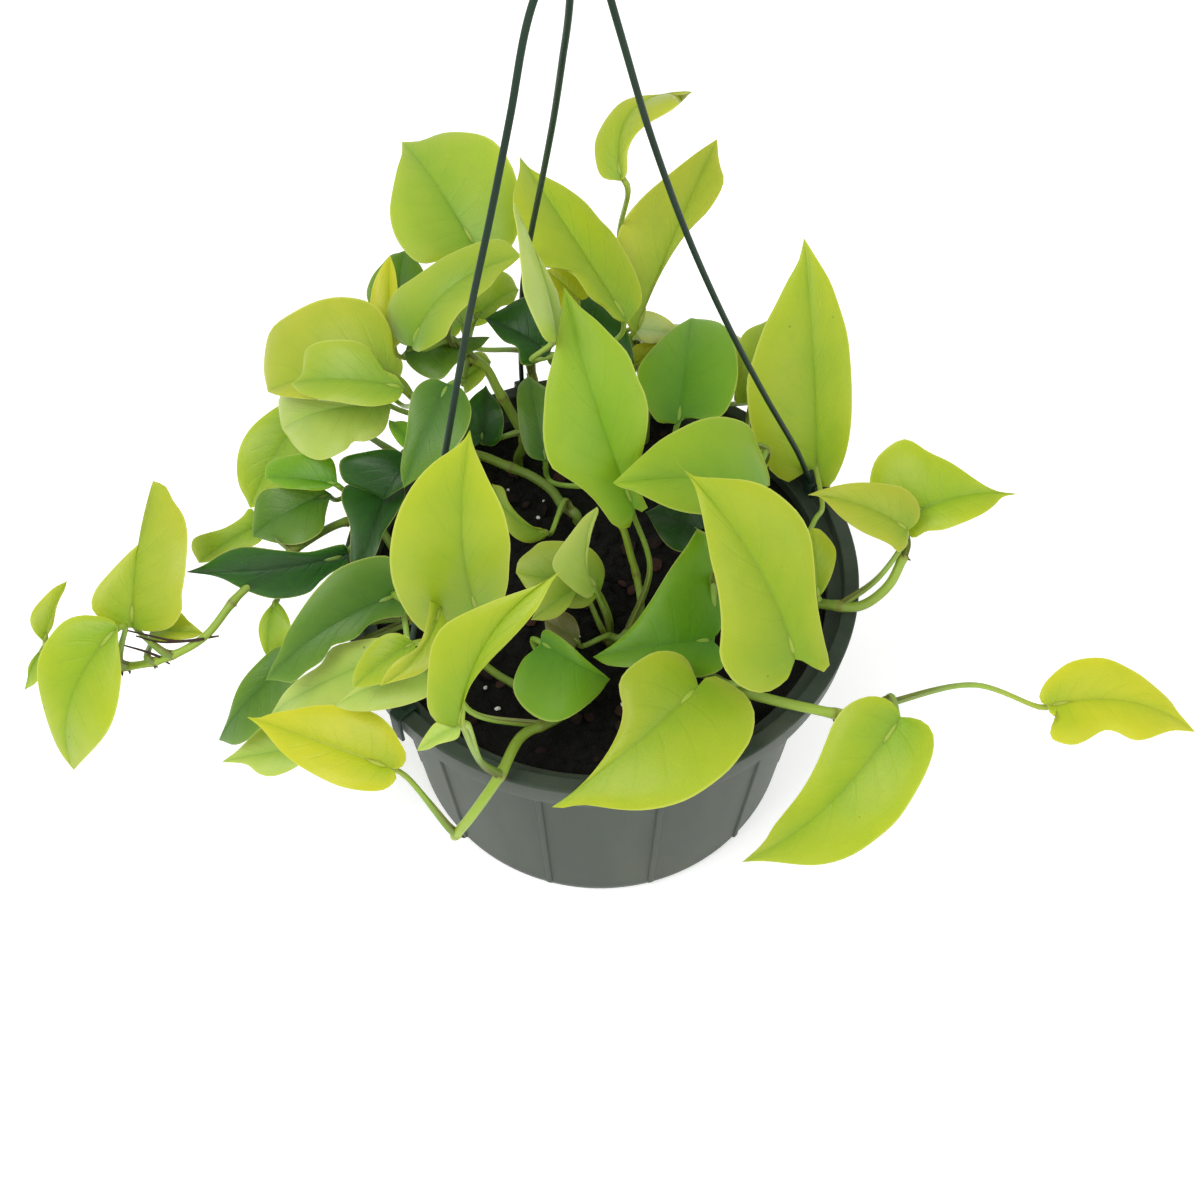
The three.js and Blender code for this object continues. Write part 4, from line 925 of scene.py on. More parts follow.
                 sway=-6, tone=Tone.FRESH,
                 right_rim=((541, 528), (532, 526), (509, 502), (503, 488)),
                 left_rim=((546, 538), (530, 543), (515, 538), (500, 517))),
        ),
    ),
    "stem_back_left": Stem(
        root=at(-43, 72, 0),
        vine=(seen(524, 440, 172), seen(512, 414, 186), seen(498, 390, 200), seen(484, 366, 212),
              seen(458, 352, 222)),
        leaves=(
            Leaf(seen(475, 246, 254), seen(402, 142, 262), wide=60, start=0.97, arch=8, fold=10,
                 tone=Tone.FRESH,
                 right_rim=((488, 258), (505, 254), (516, 238), (521, 215), (519, 192), (513, 167),
                            (496, 142), (483, 135), (460, 132), (441, 133), (420, 140)),
                 left_rim=((462, 250), (446, 258), (420, 263), (398, 241), (389, 211), (397, 170),
                           (402, 156))),
            Leaf(seen(412, 346, 240), seen(521, 256, 274), wide=48, start=0.99, arch=14, fold=8,
                 roll=-15, tone=Tone.FRESH,
                 right_rim=((418, 352), (444, 335), (447, 327), (458, 312), (490, 287), (500, 273)),
                 left_rim=((402, 345), (391, 335), (386, 318), (390, 300), (398, 288), (410, 279),
                           (424, 268), (440, 257), (458, 249), (481, 242), (504, 241))),
            Leaf(seen(393, 350, 228), seen(390, 255, 256), wide=34, start=0.98, arch=3, fold=20,
                 roll=-20, tone=Tone.YELLOW,
                 right_rim=((402, 340), (400, 318), (397, 280)),
                 left_rim=((385, 346), (371, 326), (371, 290))),
            Leaf(seen(405, 352, 225), seen(490, 337, 222), wide=36, start=0.97, arch=5, fold=8,
                 tone=Tone.SAGE,
                 right_rim=((407, 362), (420, 374), (441, 378), (455, 365), (468, 354), (481, 347)),
                 left_rim=((410, 341), (444, 335), (467, 340))),
            Leaf(seen(398, 325, 222), seen(404, 251, 238), wide=34, start=0.96, arch=5, fold=8,
                 tone=Tone.SAGE,
                 right_rim=((420, 320), (428, 290), (421, 265), (412, 255)),
                 left_rim=((378, 318), (366, 295), (371, 278), (383, 264), (392, 254))),
            Leaf(seen(474, 318, 228), seen(519, 290, 230), wide=28, start=0.9, arch=4, fold=8,
                 tone=Tone.FRESH,
                 right_rim=((488, 319), (500, 308), (513, 302)),
                 left_rim=((476, 300), (490, 282), (500, 272), (512, 278))),
            Leaf(seen(482, 440, 176), seen(486, 385, 190), wide=22, start=0.3, arch=4, fold=8,
                 tone=Tone.DEEP),
            Leaf(seen(462, 382, 206), seen(491, 362, 210), wide=22, start=0.9, arch=3, fold=6,
                 tone=Tone.FRESH,
                 right_rim=((466, 393), (486, 374)),
                 left_rim=((462, 366), (474, 353), (486, 352))),
        ),
    ),
    "stem_back": Stem(
        root=at(-10, 76, 0),
        vine=(at(-8, 82, 185), at(-2, 86, 205)),
        leaves=(
            Leaf(seen(628, 322, 238), seen(520, 157, 276), wide=56, start=0.95, arch=8, fold=10,
                 sway=-6, roll=24, tone=Tone.NEON,
                 right_rim=((641, 302), (635, 271), (615, 232), (601, 218), (586, 202), (564, 187),
                            (530, 168)),
                 left_rim=((618, 320), (605, 307), (591, 298), (571, 273), (539, 263), (527, 240),
                           (513, 200), (519, 172))),
            Leaf(seen(557, 346, 250), seen(514, 203, 325), wide=36, start=0.9, arch=3, fold=10,
                 roll=60, tone=Tone.PALE,
                 right_rim=((561, 330), (560, 294), (554, 284), (525, 232)),
                 left_rim=((547, 339), (532, 298), (527, 274), (520, 246))),
            Leaf(seen(550, 352, 236), seen(485, 319, 243), wide=36, start=0.85, arch=5, fold=8,
                 tone=Tone.DEEP,
                 right_rim=((557, 338), (552, 316), (540, 300), (527, 295), (512, 301), (504, 308)),
                 left_rim=((540, 362), (522, 364), (517, 348), (504, 341))),
            Leaf(seen(578, 300, 232), seen(545, 270, 240), wide=22, start=0.9, arch=3, fold=8,
                 tone=Tone.YELLOW),
            Leaf(seen(628, 378, 196), seen(576, 298, 212), wide=44, start=0.6, arch=5, fold=8,
                 tone=Tone.DEEP,
                 right_rim=((634, 364), (621, 319), (604, 307), (588, 297)),
                 left_rim=((606, 374), (573, 318))),
        ),
    ),
    "stem_back_right": Stem(
        root=at(24, 92, 0),
        vine=(at(24, 104, 168), at(20, 122, 184)),
        leaves=(
            Leaf(seen(621, 181, 292), seen(692, 92, 302), wide=34, start=0.97, arch=12, fold=10,
                 sway=-11, roll=-30, approach=0.06, via=at(9.7, 142, 236), tone=Tone.LIME,
                 right_rim=((625, 176), (628, 149), (645, 126)),
                 left_rim=((605, 179), (599, 173), (593, 146), (598, 129), (620, 104), (645, 96))),
            Leaf(seen(636, 334, 212), seen(717, 139, 264), wide=52, start=0.9, arch=6, fold=12,
                 sway=-3, roll=25, tone=Tone.LIME,
                 right_rim=((642, 305), (657, 273), (669, 256), (689, 230), (709, 210), (725, 180),
                            (721, 164)),
                 left_rim=((628, 326), (620, 300), (614, 270), (616, 245), (625, 220), (642, 198),
                           (662, 180), (696, 153))),
            # This leaf's near-white tone is a painted highlight of glare on its face.
            Leaf(seen(630, 328, 196), seen(694, 340, 190), wide=30, start=0.8, arch=3, fold=8,
                 tone=Tone.PAINTED_HIGHLIGHT,
                 right_rim=((645, 343), (665, 341), (680, 342)),
                 left_rim=((640, 311), (664, 317))),
            Leaf(seen(633, 368, 186), seen(665, 338, 192), wide=20, start=0.75, arch=2, fold=6,
                 tone=Tone.YELLOW,
                 right_rim=((650, 357), (660, 346)),
                 left_rim=((632, 350), (640, 343))),
        ),
    ),
    "stem_right": Stem(
        root=at(72, 34, 0),
        vine=(at(76, 36, 175), at(80, 38, 190)),
        leaves=(
            Leaf(seen(678, 424, 200), seen(691, 318, 200), wide=50, start=0.9, arch=5, fold=8,
                 tone=Tone.MOSS,
                 right_rim=((688, 417), (702, 420), (721, 416), (732, 399), (738, 377), (738, 360),
                            (732, 338), (723, 325), (710, 320)),
                 left_rim=((668, 422), (658, 421), (642, 395), (638, 369), (660, 339))),
            Leaf(seen(758, 486, 206), seen(613, 483, 240), wide=46, start=0.95, arch=8, fold=8,
                 tone=Tone.GRASS,
                 right_rim=((766, 489), (772, 484), (765, 460), (757, 444), (750, 426), (725, 416),
                            (703, 418), (682, 427), (660, 440), (643, 455), (625, 472)),
                 left_rim=((757, 500), (735, 511), (701, 514), (677, 510), (634, 490), (620, 487))),
            Leaf(seen(752, 402, 182), seen(768, 320, 200), wide=34, start=0.3, arch=5, fold=8,
                 tone=Tone.FRESH,
                 right_rim=((776, 385), (784, 350), (778, 330)),
                 left_rim=((735, 402), (737, 380), (742, 336))),
        ),
    ),
    "stem_middle": Stem(
        root=at(5, -40, 0),
        vine=(seen(620, 638, 158), seen(640, 612, 156), seen(637, 578, 164), seen(631, 556, 174),
              seen(624, 531, 186), seen(614, 507, 196)),
        radius=1.9,
        leaves=(
            Leaf(seen(634, 508, 215), seen(564, 287, 287), wide=52, start=0.24, arch=6, fold=10,
                 sway=-3, via=seen(650, 569, 176), tone=Tone.GRASS,
                 right_rim=((641, 512), (648, 510), (644, 500), (638, 485), (638, 470), (643, 450),
                            (647, 432), (649, 412), (646, 395), (638, 377), (628, 353), (610, 334),
                            (596, 320), (581, 308), (573, 299)),
                 left_rim=((633, 522), (628, 530), (615, 527), (607, 517), (595, 501), (580, 487),
                           (562, 475), (552, 468), (546, 454), (543, 434), (544, 412), (546, 388),
                           (551, 366), (556, 346), (559, 327), (562, 306))),
            Leaf(seen(546, 462, 186), seen(528, 376, 200), wide=34, start=0.9, arch=5, fold=8,
                 tone=Tone.SAGE,
                 right_rim=((560, 448), (563, 420), (552, 392)),
                 left_rim=((528, 455), (517, 400), (520, 384))),
            Leaf(seen(596, 588, 192), seen(597, 507, 224), wide=26, start=0.03, arch=4, fold=14,
                 sway=-8, roll=30, via=seen(608, 622, 160), tone=Tone.PALE,
                 right_rim=((584, 561), (599, 511)),
                 left_rim=((588, 597), (562, 580), (554, 564), (582, 519))),
            Leaf(seen(600, 592, 176), seen(516, 573, 184), wide=34, start=0.05, arch=4, fold=8,
                 via=seen(610, 620, 158), tone=Tone.FRESH,
                 right_rim=((605, 580), (604, 566), (588, 547), (541, 541), (531, 549), (519, 561)),
                 left_rim=((588, 606), (560, 606), (530, 592))),
            Leaf(seen(584, 584, 184), seen(531, 620, 186), wide=24, start=0.02, arch=3, fold=6,
                 via=seen(600, 625, 160), tone=Tone.FRESH,
                 right_rim=((579, 574), (567, 568), (555, 577)),
                 left_rim=((577, 592), (572, 602), (560, 615), (545, 620))),
            Leaf(seen(578, 641, 166), seen(545, 620, 170), wide=16, start=0.01, arch=2, fold=6,
                 tone=Tone.OLIVE,
                 right_rim=((579, 630), (574, 617), (560, 611)),
                 left_rim=((572, 652), (556, 648), (547, 634))),
        ),
    ),
    "stem_front_left": Stem(
        root=at(-29, -72, 0),
        vine=(seen(514, 684, 157), seen(486, 666, 164), seen(470, 644, 178), seen(464, 624, 194)),
        radius=1.9,
        leaves=(
            Leaf(seen(478, 612, 242), seen(470, 430, 325), wide=54, start=0.97, arch=7, fold=10,
                 sway=-4, tone=Tone.NEON,
                 right_rim=((487, 620), (498, 612), (507, 590), (509, 565), (510, 544), (503, 510),
                            (486, 476), (473, 446)),
                 left_rim=((468, 626), (452, 638), (436, 638), (421, 630), (410, 619), (399, 602),
                           (392, 585), (389, 565), (390, 546), (395, 522), (404, 500), (418, 478),
                           (435, 461), (450, 451), (463, 441))),
            Leaf(seen(440, 608, 252), seen(380, 686, 240), wide=20, start=0.9, arch=5, fold=12,
                 sway=-6, tone=Tone.LIME,
                 right_rim=((431, 600), (429, 614), (418, 645), (398, 660), (386, 674)),
                 left_rim=((448, 625), (428, 668))),
        ),
    ),
    "stem_low_left": Stem(
        root=at(-80, -38, 0),
        vine=(at(-84, -42, 168), at(-90, -46, 182)),
        leaves=(
            Leaf(seen(404, 592, 198), seen(266, 680, 172), wide=48, start=0.97, arch=8, fold=8,
                 sway=5, roll=-20, tone=Tone.SAGE,
                 right_rim=((404, 575), (392, 558), (376, 556), (339, 568), (322, 583), (309, 598),
                            (287, 633), (280, 652), (272, 666)),
                 left_rim=((405, 615), (387, 618), (370, 624), (357, 637), (346, 642), (332, 646),
                           (322, 661), (306, 672), (291, 683), (278, 680))),
            Leaf(seen(292, 656, 142), seen(219, 740, 100), wide=34, start=0.9, arch=6, fold=8,
                 via=at(-116, -47, 174), tone=Tone.SAGE,
                 right_rim=((280, 646), (245, 677)),
                 left_rim=((298, 675), (292, 700), (259, 730), (248, 740), (234, 745))),
            Leaf(seen(400, 652, 186), seen(266, 722, 120), wide=40, start=0.9, arch=12, fold=8,
                 tone=Tone.PALE,
                 right_rim=((412, 640), (398, 634), (383, 637), (357, 640), (330, 648), (321, 664),
                            (300, 679), (284, 694)),
                 left_rim=((400, 668), (380, 688), (350, 704), (315, 716), (285, 722))),
            Leaf(seen(300, 748, 100), seen(222, 762, 88), wide=30, start=0.8, arch=4, fold=8,
                 via=at(-122, -62, 168), tone=Tone.PALE,
                 right_rim=((290, 738), (261, 728), (254, 735)),
                 left_rim=((302, 762), (272, 776), (259, 774), (248, 765))),
            Leaf(seen(414, 642, 224), seen(353, 688, 206), wide=26, start=0.94, arch=4, fold=8,
                 tone=Tone.NEON,
                 right_rim=((400, 634), (384, 635), (366, 649), (354, 677)),
                 left_rim=((416, 656), (402, 668), (379, 684))),
        ),
    ),
    "stem_front_right": Stem(
        root=at(46, -24, 0),
        vine=(at(48, -30, 172), at(52, -36, 190)),
        leaves=(
            Leaf(seen(795, 659, 200), seen(676, 462, 270), wide=66, start=0.97, arch=8, fold=8,
                 sway=5, tone=Tone.NEON,
                 right_rim=((803, 661), (809, 664), (820, 672), (830, 673), (831, 663), (827, 649),
                            (821, 625), (816, 597), (814, 561), (811, 535), (802, 516), (787, 500),
                            (767, 486), (748, 480), (720, 478), (693, 476), (684, 470)),
                 left_rim=((792, 665), (788, 678), (778, 688), (765, 694), (748, 691), (734, 681),
                           (724, 665), (721, 653), (722, 636), (721, 614), (717, 586), (711, 561),
                           (707, 538), (701, 507), (695, 486), (686, 472))),
            Leaf(seen(712, 640, 180), seen(593, 657, 178), wide=56, start=0.9, arch=6, fold=8,
                 tone=Tone.MOSS,
                 right_rim=((720, 630), (728, 610), (730, 580), (722, 550), (701, 527), (690, 542),
                            (672, 566), (649, 603), (630, 628), (610, 646)),
                 left_rim=((722, 652), (722, 668), (705, 676), (680, 676), (650, 669), (607, 665))),
            Leaf(seen(700, 530, 180), seen(645, 512, 184), wide=30, start=0.8, arch=4, fold=8,
                 tone=Tone.DEEP),
        ),
    ),
    "stem_rear_left": Stem(
        root=at(-28, 94, 0),
        vine=(at(-32, 98, 170), at(-36, 104, 186)),
        leaves=(
            Leaf(at(-12, 128, 188), at(-6, 184, 150), wide=50, start=0.95, arch=8, fold=8,
                 tone=Tone.NEON),
            Leaf(at(-72, 128, 196), at(-92, 186, 168), wide=50, start=0.9, arch=8, fold=8,
                 tone=Tone.FRESH),
        ),
    ),
    "stem_rear_right": Stem(
        root=at(56, 78, 0),
        vine=(at(58, 84, 166), at(60, 92, 178)),
        leaves=(
            Leaf(at(52, 120, 176), at(62, 172, 144), wide=46, start=0.95, arch=8, fold=8,
                 tone=Tone.NEON),
            Leaf(at(92, 108, 174), at(118, 148, 160), wide=46, start=0.5, arch=8, fold=8,
                 tone=Tone.NEON),
            Leaf(at(24, 134, 176), at(28, 158, 116), wide=44, start=0.85, arch=8, fold=8,
                 via=at(44, 114, 172), tone=Tone.FRESH),
        ),
    ),
}


@dataclass(frozen=True)
class Pot:
    """The basket's moulded pot: a tapered wall with ribs, a ledge and a lip with a turned-down skirt."""

    height: float = 160.0
    rim: float = 127.0
    base: float = 104.0
    shoulder: float = 114.3
    shoulder_height: float = 143.0
    ledge: float = 151.0
    ledge_width: float = 5.0
    lip_width: float = 7.6
    lip_thickness: float = 2.2
    skirt: float = 16.0
    draft: float = 1.4
    wall: float = 1.9
    floor: float = 2.4
    ribs: int = 12
    rib_width: float = 3.2
    rib_depth: float = 1.1
    rib_foot: float = 8.0
    drains: int = 6
    drain_radius: float = 5.0
    drain_circle: float = 82.0

    def wall_radius(self, height: float) -> float:
        """The outside radius of the tapered wall at a height."""
        return self.base + (self.shoulder - self.base) * height / self.shoulder_height

    def profile(self) -> list[tuple[float, float, float]]:
        """The section's corners as radius, height and how much of the corner is rounded off."""
        lip_inner = self.rim - self.lip_width
        foot = self.height - self.skirt
        return [
            (0.0, 0.0, 0.0),
            (60.0, 0.0, 0.0),
            (self.base - 1.5, 0.0, 3.0),
            (self.wall_radius(self.rib_foot), self.rib_foot, 0.5),
            (self.wall_radius(self.shoulder_height - 2), self.shoulder_height - 2, 0.5),
            (self.shoulder, self.shoulder_height, 0.4),
            (self.shoulder, self.ledge - self.wall, 0.8),
            (lip_inner, self.ledge - self.wall, 0.8),
            (lip_inner + self.wall, self.ledge, 0.6),
            (lip_inner + self.wall, self.height - self.lip_thickness, 0.8),
            (self.rim - self.wall, self.height - self.lip_thickness, 0.8),
            (self.rim - self.draft - self.wall, foot, 0.7),
            (self.rim - self.draft, foot, 0.7),
            (self.rim, self.height, 1.5),
            (lip_inner, self.height, 1.0),
            (lip_inner, self.ledge, 1.0),
            (lip_inner - self.ledge_width - 2, self.ledge, 1.0),
            (self.shoulder - self.wall, self.shoulder_height, 1.0),
            (self.wall_radius(5.4) - self.wall, self.floor + 3, 2.0),
            (self.base - self.wall - 3, self.floor, 1.5),
            (60.0, self.floor, 0.0),
            (0.0, self.floor, 0.0),
        ]

    def patch(self) -> Patch:
        """The pot turned from its section, with ribs raised on the outside of the wall.

        Each rounded corner is a quadratic Bezier arc. A rib lifts the wall by its depth times a
        flat-topped bump of the distance round the wall from the rib's middle.
        """
        rows = []
        corners = np.array(self.profile())
        for k, (radius, height, cut) in enumerate(corners):
            here = np.array([radius, height])
            if cut == 0:
                rows.append(here)
                continue
            before, after = corners[k - 1][:2], corners[k + 1][:2]
            start, end = (here + unit(other - here) * cut for other in (before, after))
            for share in np.linspace(0, 1, 5):
                rows.append(start * (1 - share) ** 2 + 2 * here * share * (1 - share) + end * share**2)
        section = np.array(rows)
        section[[0, -1], 0] = 0.0
        near = np.array([-2.8, -1.9, -1.5, -1.1, 0, 1.1, 1.5, 1.9, 2.8]) / self.shoulder
        pitch = TAU / self.ribs
        between = np.linspace(near[-1], pitch + near[0], 14)[1:-1]
        round_rib = np.concatenate([near, between])
        turns = np.concatenate([(k + 0.5) * pitch + round_rib for k in range(self.ribs)])
        away = np.abs((turns / pitch) % 1 - 0.5) * pitch * self.shoulder
        bump = 1 - smoothstep(self.rib_width / 2 - 0.25, self.rib_width / 2 + 0.25, away)
        radius, height = section[:, 0], section[:, 1]
        gap = np.abs(radius - np.array([self.wall_radius(float(h)) for h in height]))
        carries = (gap < 0.3) & (height >= self.rib_foot - 0.3) & (height <= self.shoulder_height - 1.7)
        reach = radius[:, None] + self.rib_depth * bump[None] * carries[:, None]
        level = np.broadcast_to(height[:, None], reach.shape)
        points = np.stack([reach * np.cos(turns), reach * np.sin(turns), level], axis=-1)
        uv = np.stack(np.broadcast_arrays(height[:, None], turns[None] * self.rim), axis=-1)
        patch = Patch(
            points.reshape(-1, 3),
            grid_quads(len(section), len(turns), True),
            uv.reshape(-1, 2),
            flat_tint(WHITE, (len(section) * len(turns),)),
        )
        return patch.welded()

    def build(self, plastic: bpy.types.Material) -> bpy.types.Object:
        """The pot's piece, with its drain holes cut."""
        pot = make_piece("pot_moulded", [self.patch()], [plastic])
        turns = np.arange(self.drains) / self.drains * TAU
        cutters = []
        for turn in turns:
            middle = at(self.drain_circle * math.cos(turn), self.drain_circle * math.sin(turn), 0)
            line = middle + UP * np.linspace(-3, 8, 4)[:, None]
            section = round_section(np.full(4, self.drain_radius), 28)
            cutters.append(tube(line, section, flat_tint(WHITE, (4, 28))))
        cutter = make_piece("drain_cutter", cutters, [plastic])
        cut = pot.modifiers.new("drains", "BOOLEAN")
        cut.operation, cut.solver, cut.object = "DIFFERENCE", "EXACT", cutter
        bpy.context.view_layer.update()
        holed = bpy.data.meshes.new_from_object(pot.evaluated_get(bpy.context.evaluated_depsgraph_get()))
        pot.modifiers.clear()
        pot.data = holed
        bpy.data.objects.remove(cutter)
        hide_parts("pot")
        return pot


@dataclass(frozen=True)
class Soil:
    """Damp potting mix, crumbly on top, with perlite and bits of bark."""

    edge: float = 145.0
    crown: float = 149.0
    bottom: float = 2.8
    radius: float = 111.9
    foot_radius: float = 101.8
    chamfer: float = 4.0
    crumbs: int = 1500
    perlite: int = 44
    bark: int = 90

    def dome(self, far: np.ndarray | float) -> np.ndarray | float:
        """The height of the mix's low dome at a distance from the pot's axis."""
        middle = self.crown + 0.4
        return middle - (middle - self.edge) * (far / self.radius) ** 3

    def top(self, places: np.ndarray, draw: np.random.Generator) -> np.ndarray:
        """The height of the top at (x, y) places.

        A low dome carries round crumbs: each crumb adds the half circle of its own radius, and
        where crumbs meet the highest one shows.
        """
        far = np.linalg.norm(places, axis=-1)
        angle = draw.uniform(0, TAU, self.crumbs)
        reach = self.radius * np.sqrt(draw.uniform(0, 1, self.crumbs))
        middles = np.stack([reach * np.cos(angle), reach * np.sin(angle)], axis=-1)
        sizes = draw.uniform(1.2, 4.2, self.crumbs)
        lumps = np.zeros(far.shape)
        for low in range(0, self.crumbs, 100):
            part = slice(low, low + 100)
            gap = np.linalg.norm(places[..., None, :] - middles[part], axis=-1) / sizes[part]
            lumps = np.maximum(lumps, (sizes[part] * np.sqrt(np.clip(1 - gap**2, 0, 1))).max(axis=-1))
        return self.dome(far) + (0.75 * lumps - 1.8) * smoothstep(self.radius, self.radius - 3, far)

    def body(self, draw: np.random.Generator) -> Patch:
        """The mix as a closed body: the crumbly top, the wall and the flat bottom."""
        turn = np.linspace(0, TAU, 300, endpoint=False)
        reach = np.linspace(0, 1, 110) ** 0.8 * self.radius
        ring = np.stack([np.cos(turn), np.sin(turn)], axis=-1)
        top = reach[:, None, None] * ring[None]
        height = self.top(top, draw)
        levels = [
            (self.radius, self.edge - self.chamfer),
            (self.foot_radius, self.bottom + self.chamfer),
            (self.foot_radius - self.chamfer, self.bottom),
        ]
        lower = [np.concatenate([r * ring, np.full((len(turn), 1), z)], axis=-1) for r, z in levels]
        floor = np.concatenate([0 * ring, np.full((len(turn), 1), self.bottom)], axis=-1)
        rings = np.concatenate([np.concatenate([top, height[..., None]], axis=-1), lower, [floor]])
        shape = rings.shape[:2]
        patch = Patch(
            rings.reshape(-1, 3), grid_quads(*shape, True), rings[..., :2].reshape(-1, 2),
            flat_tint(linear(12, 11, 8), shape).reshape(-1, 3),
        )
        return patch.welded()

    def grains(self, count: int, sizes: tuple[float, float], flat: float, colours: tuple, slot: int,
               draw: np.random.Generator) -> list[Patch]:
        """Irregular grains lying in the top of the mix.

        Args:
            count: How many grains.
            sizes: The least and greatest radius.
            flat: A grain's thickness as a share of its width.
            colours: The darkest and lightest colour.
            slot: The number of their material.
            draw: The source of the scatter.

        Returns:
            One patch for each grain.
        """
        found = []
        angle = draw.uniform(0, TAU, count)
        reach = (self.radius - 6) * np.sqrt(draw.uniform(0.01, 1, count))
        for turn, far in zip(angle, reach):
            size = draw.uniform(*sizes)
            tilt = np.linspace(0, math.pi, 8)[1:-1]
            around = np.linspace(0, TAU, 9, endpoint=False)
            ball = np.stack([
                np.sin(tilt)[:, None] * np.cos(around)[None],
                np.sin(tilt)[:, None] * np.sin(around)[None],
                np.broadcast_to(np.cos(tilt)[:, None] * flat, (len(tilt), len(around))),
            ], axis=-1)
            ball *= size * draw.uniform(0.72, 1.12, (*ball.shape[:2], 1))
            ball *= np.array([draw.uniform(0.8, 1.6), 1.0, 1.0])
            ball = spin(spin(ball, at(1, 0, 0), float(draw.normal(0, 0.4))), UP, float(draw.uniform(0, TAU)))
            place = at(far * math.cos(turn), far * math.sin(turn), self.dome(far) + 0.4)
            share = draw.uniform(0, 1)
            colour = np.array(colours[0]) * (1 - share) + np.array(colours[1]) * share
            found.append(ringed(ball + place, ball[..., :2], flat_tint(tuple(colour), ball.shape[:2]), slot))
        return found

    def build(self, mix: bpy.types.Material, grain: bpy.types.Material) -> None:
        """The soil's two pieces: the mix itself and the grains on it."""
        draw = np.random.default_rng(11)
        soil = make_piece("potting_mix", [self.body(draw)], [mix])
        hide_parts("soil")
        white = (linear(206, 204, 194), linear(240, 238, 230))
        brown = (linear(24, 17, 14), linear(60, 38, 31))
        bits = self.grains(self.perlite, (0.4, 1.3), 0.8, white, 0, draw)
        bits += self.grains(self.bark, (1.6, 4.6), 0.28, brown, 0, draw)
        loose = make_piece("perlite_and_bark", bits, [grain])


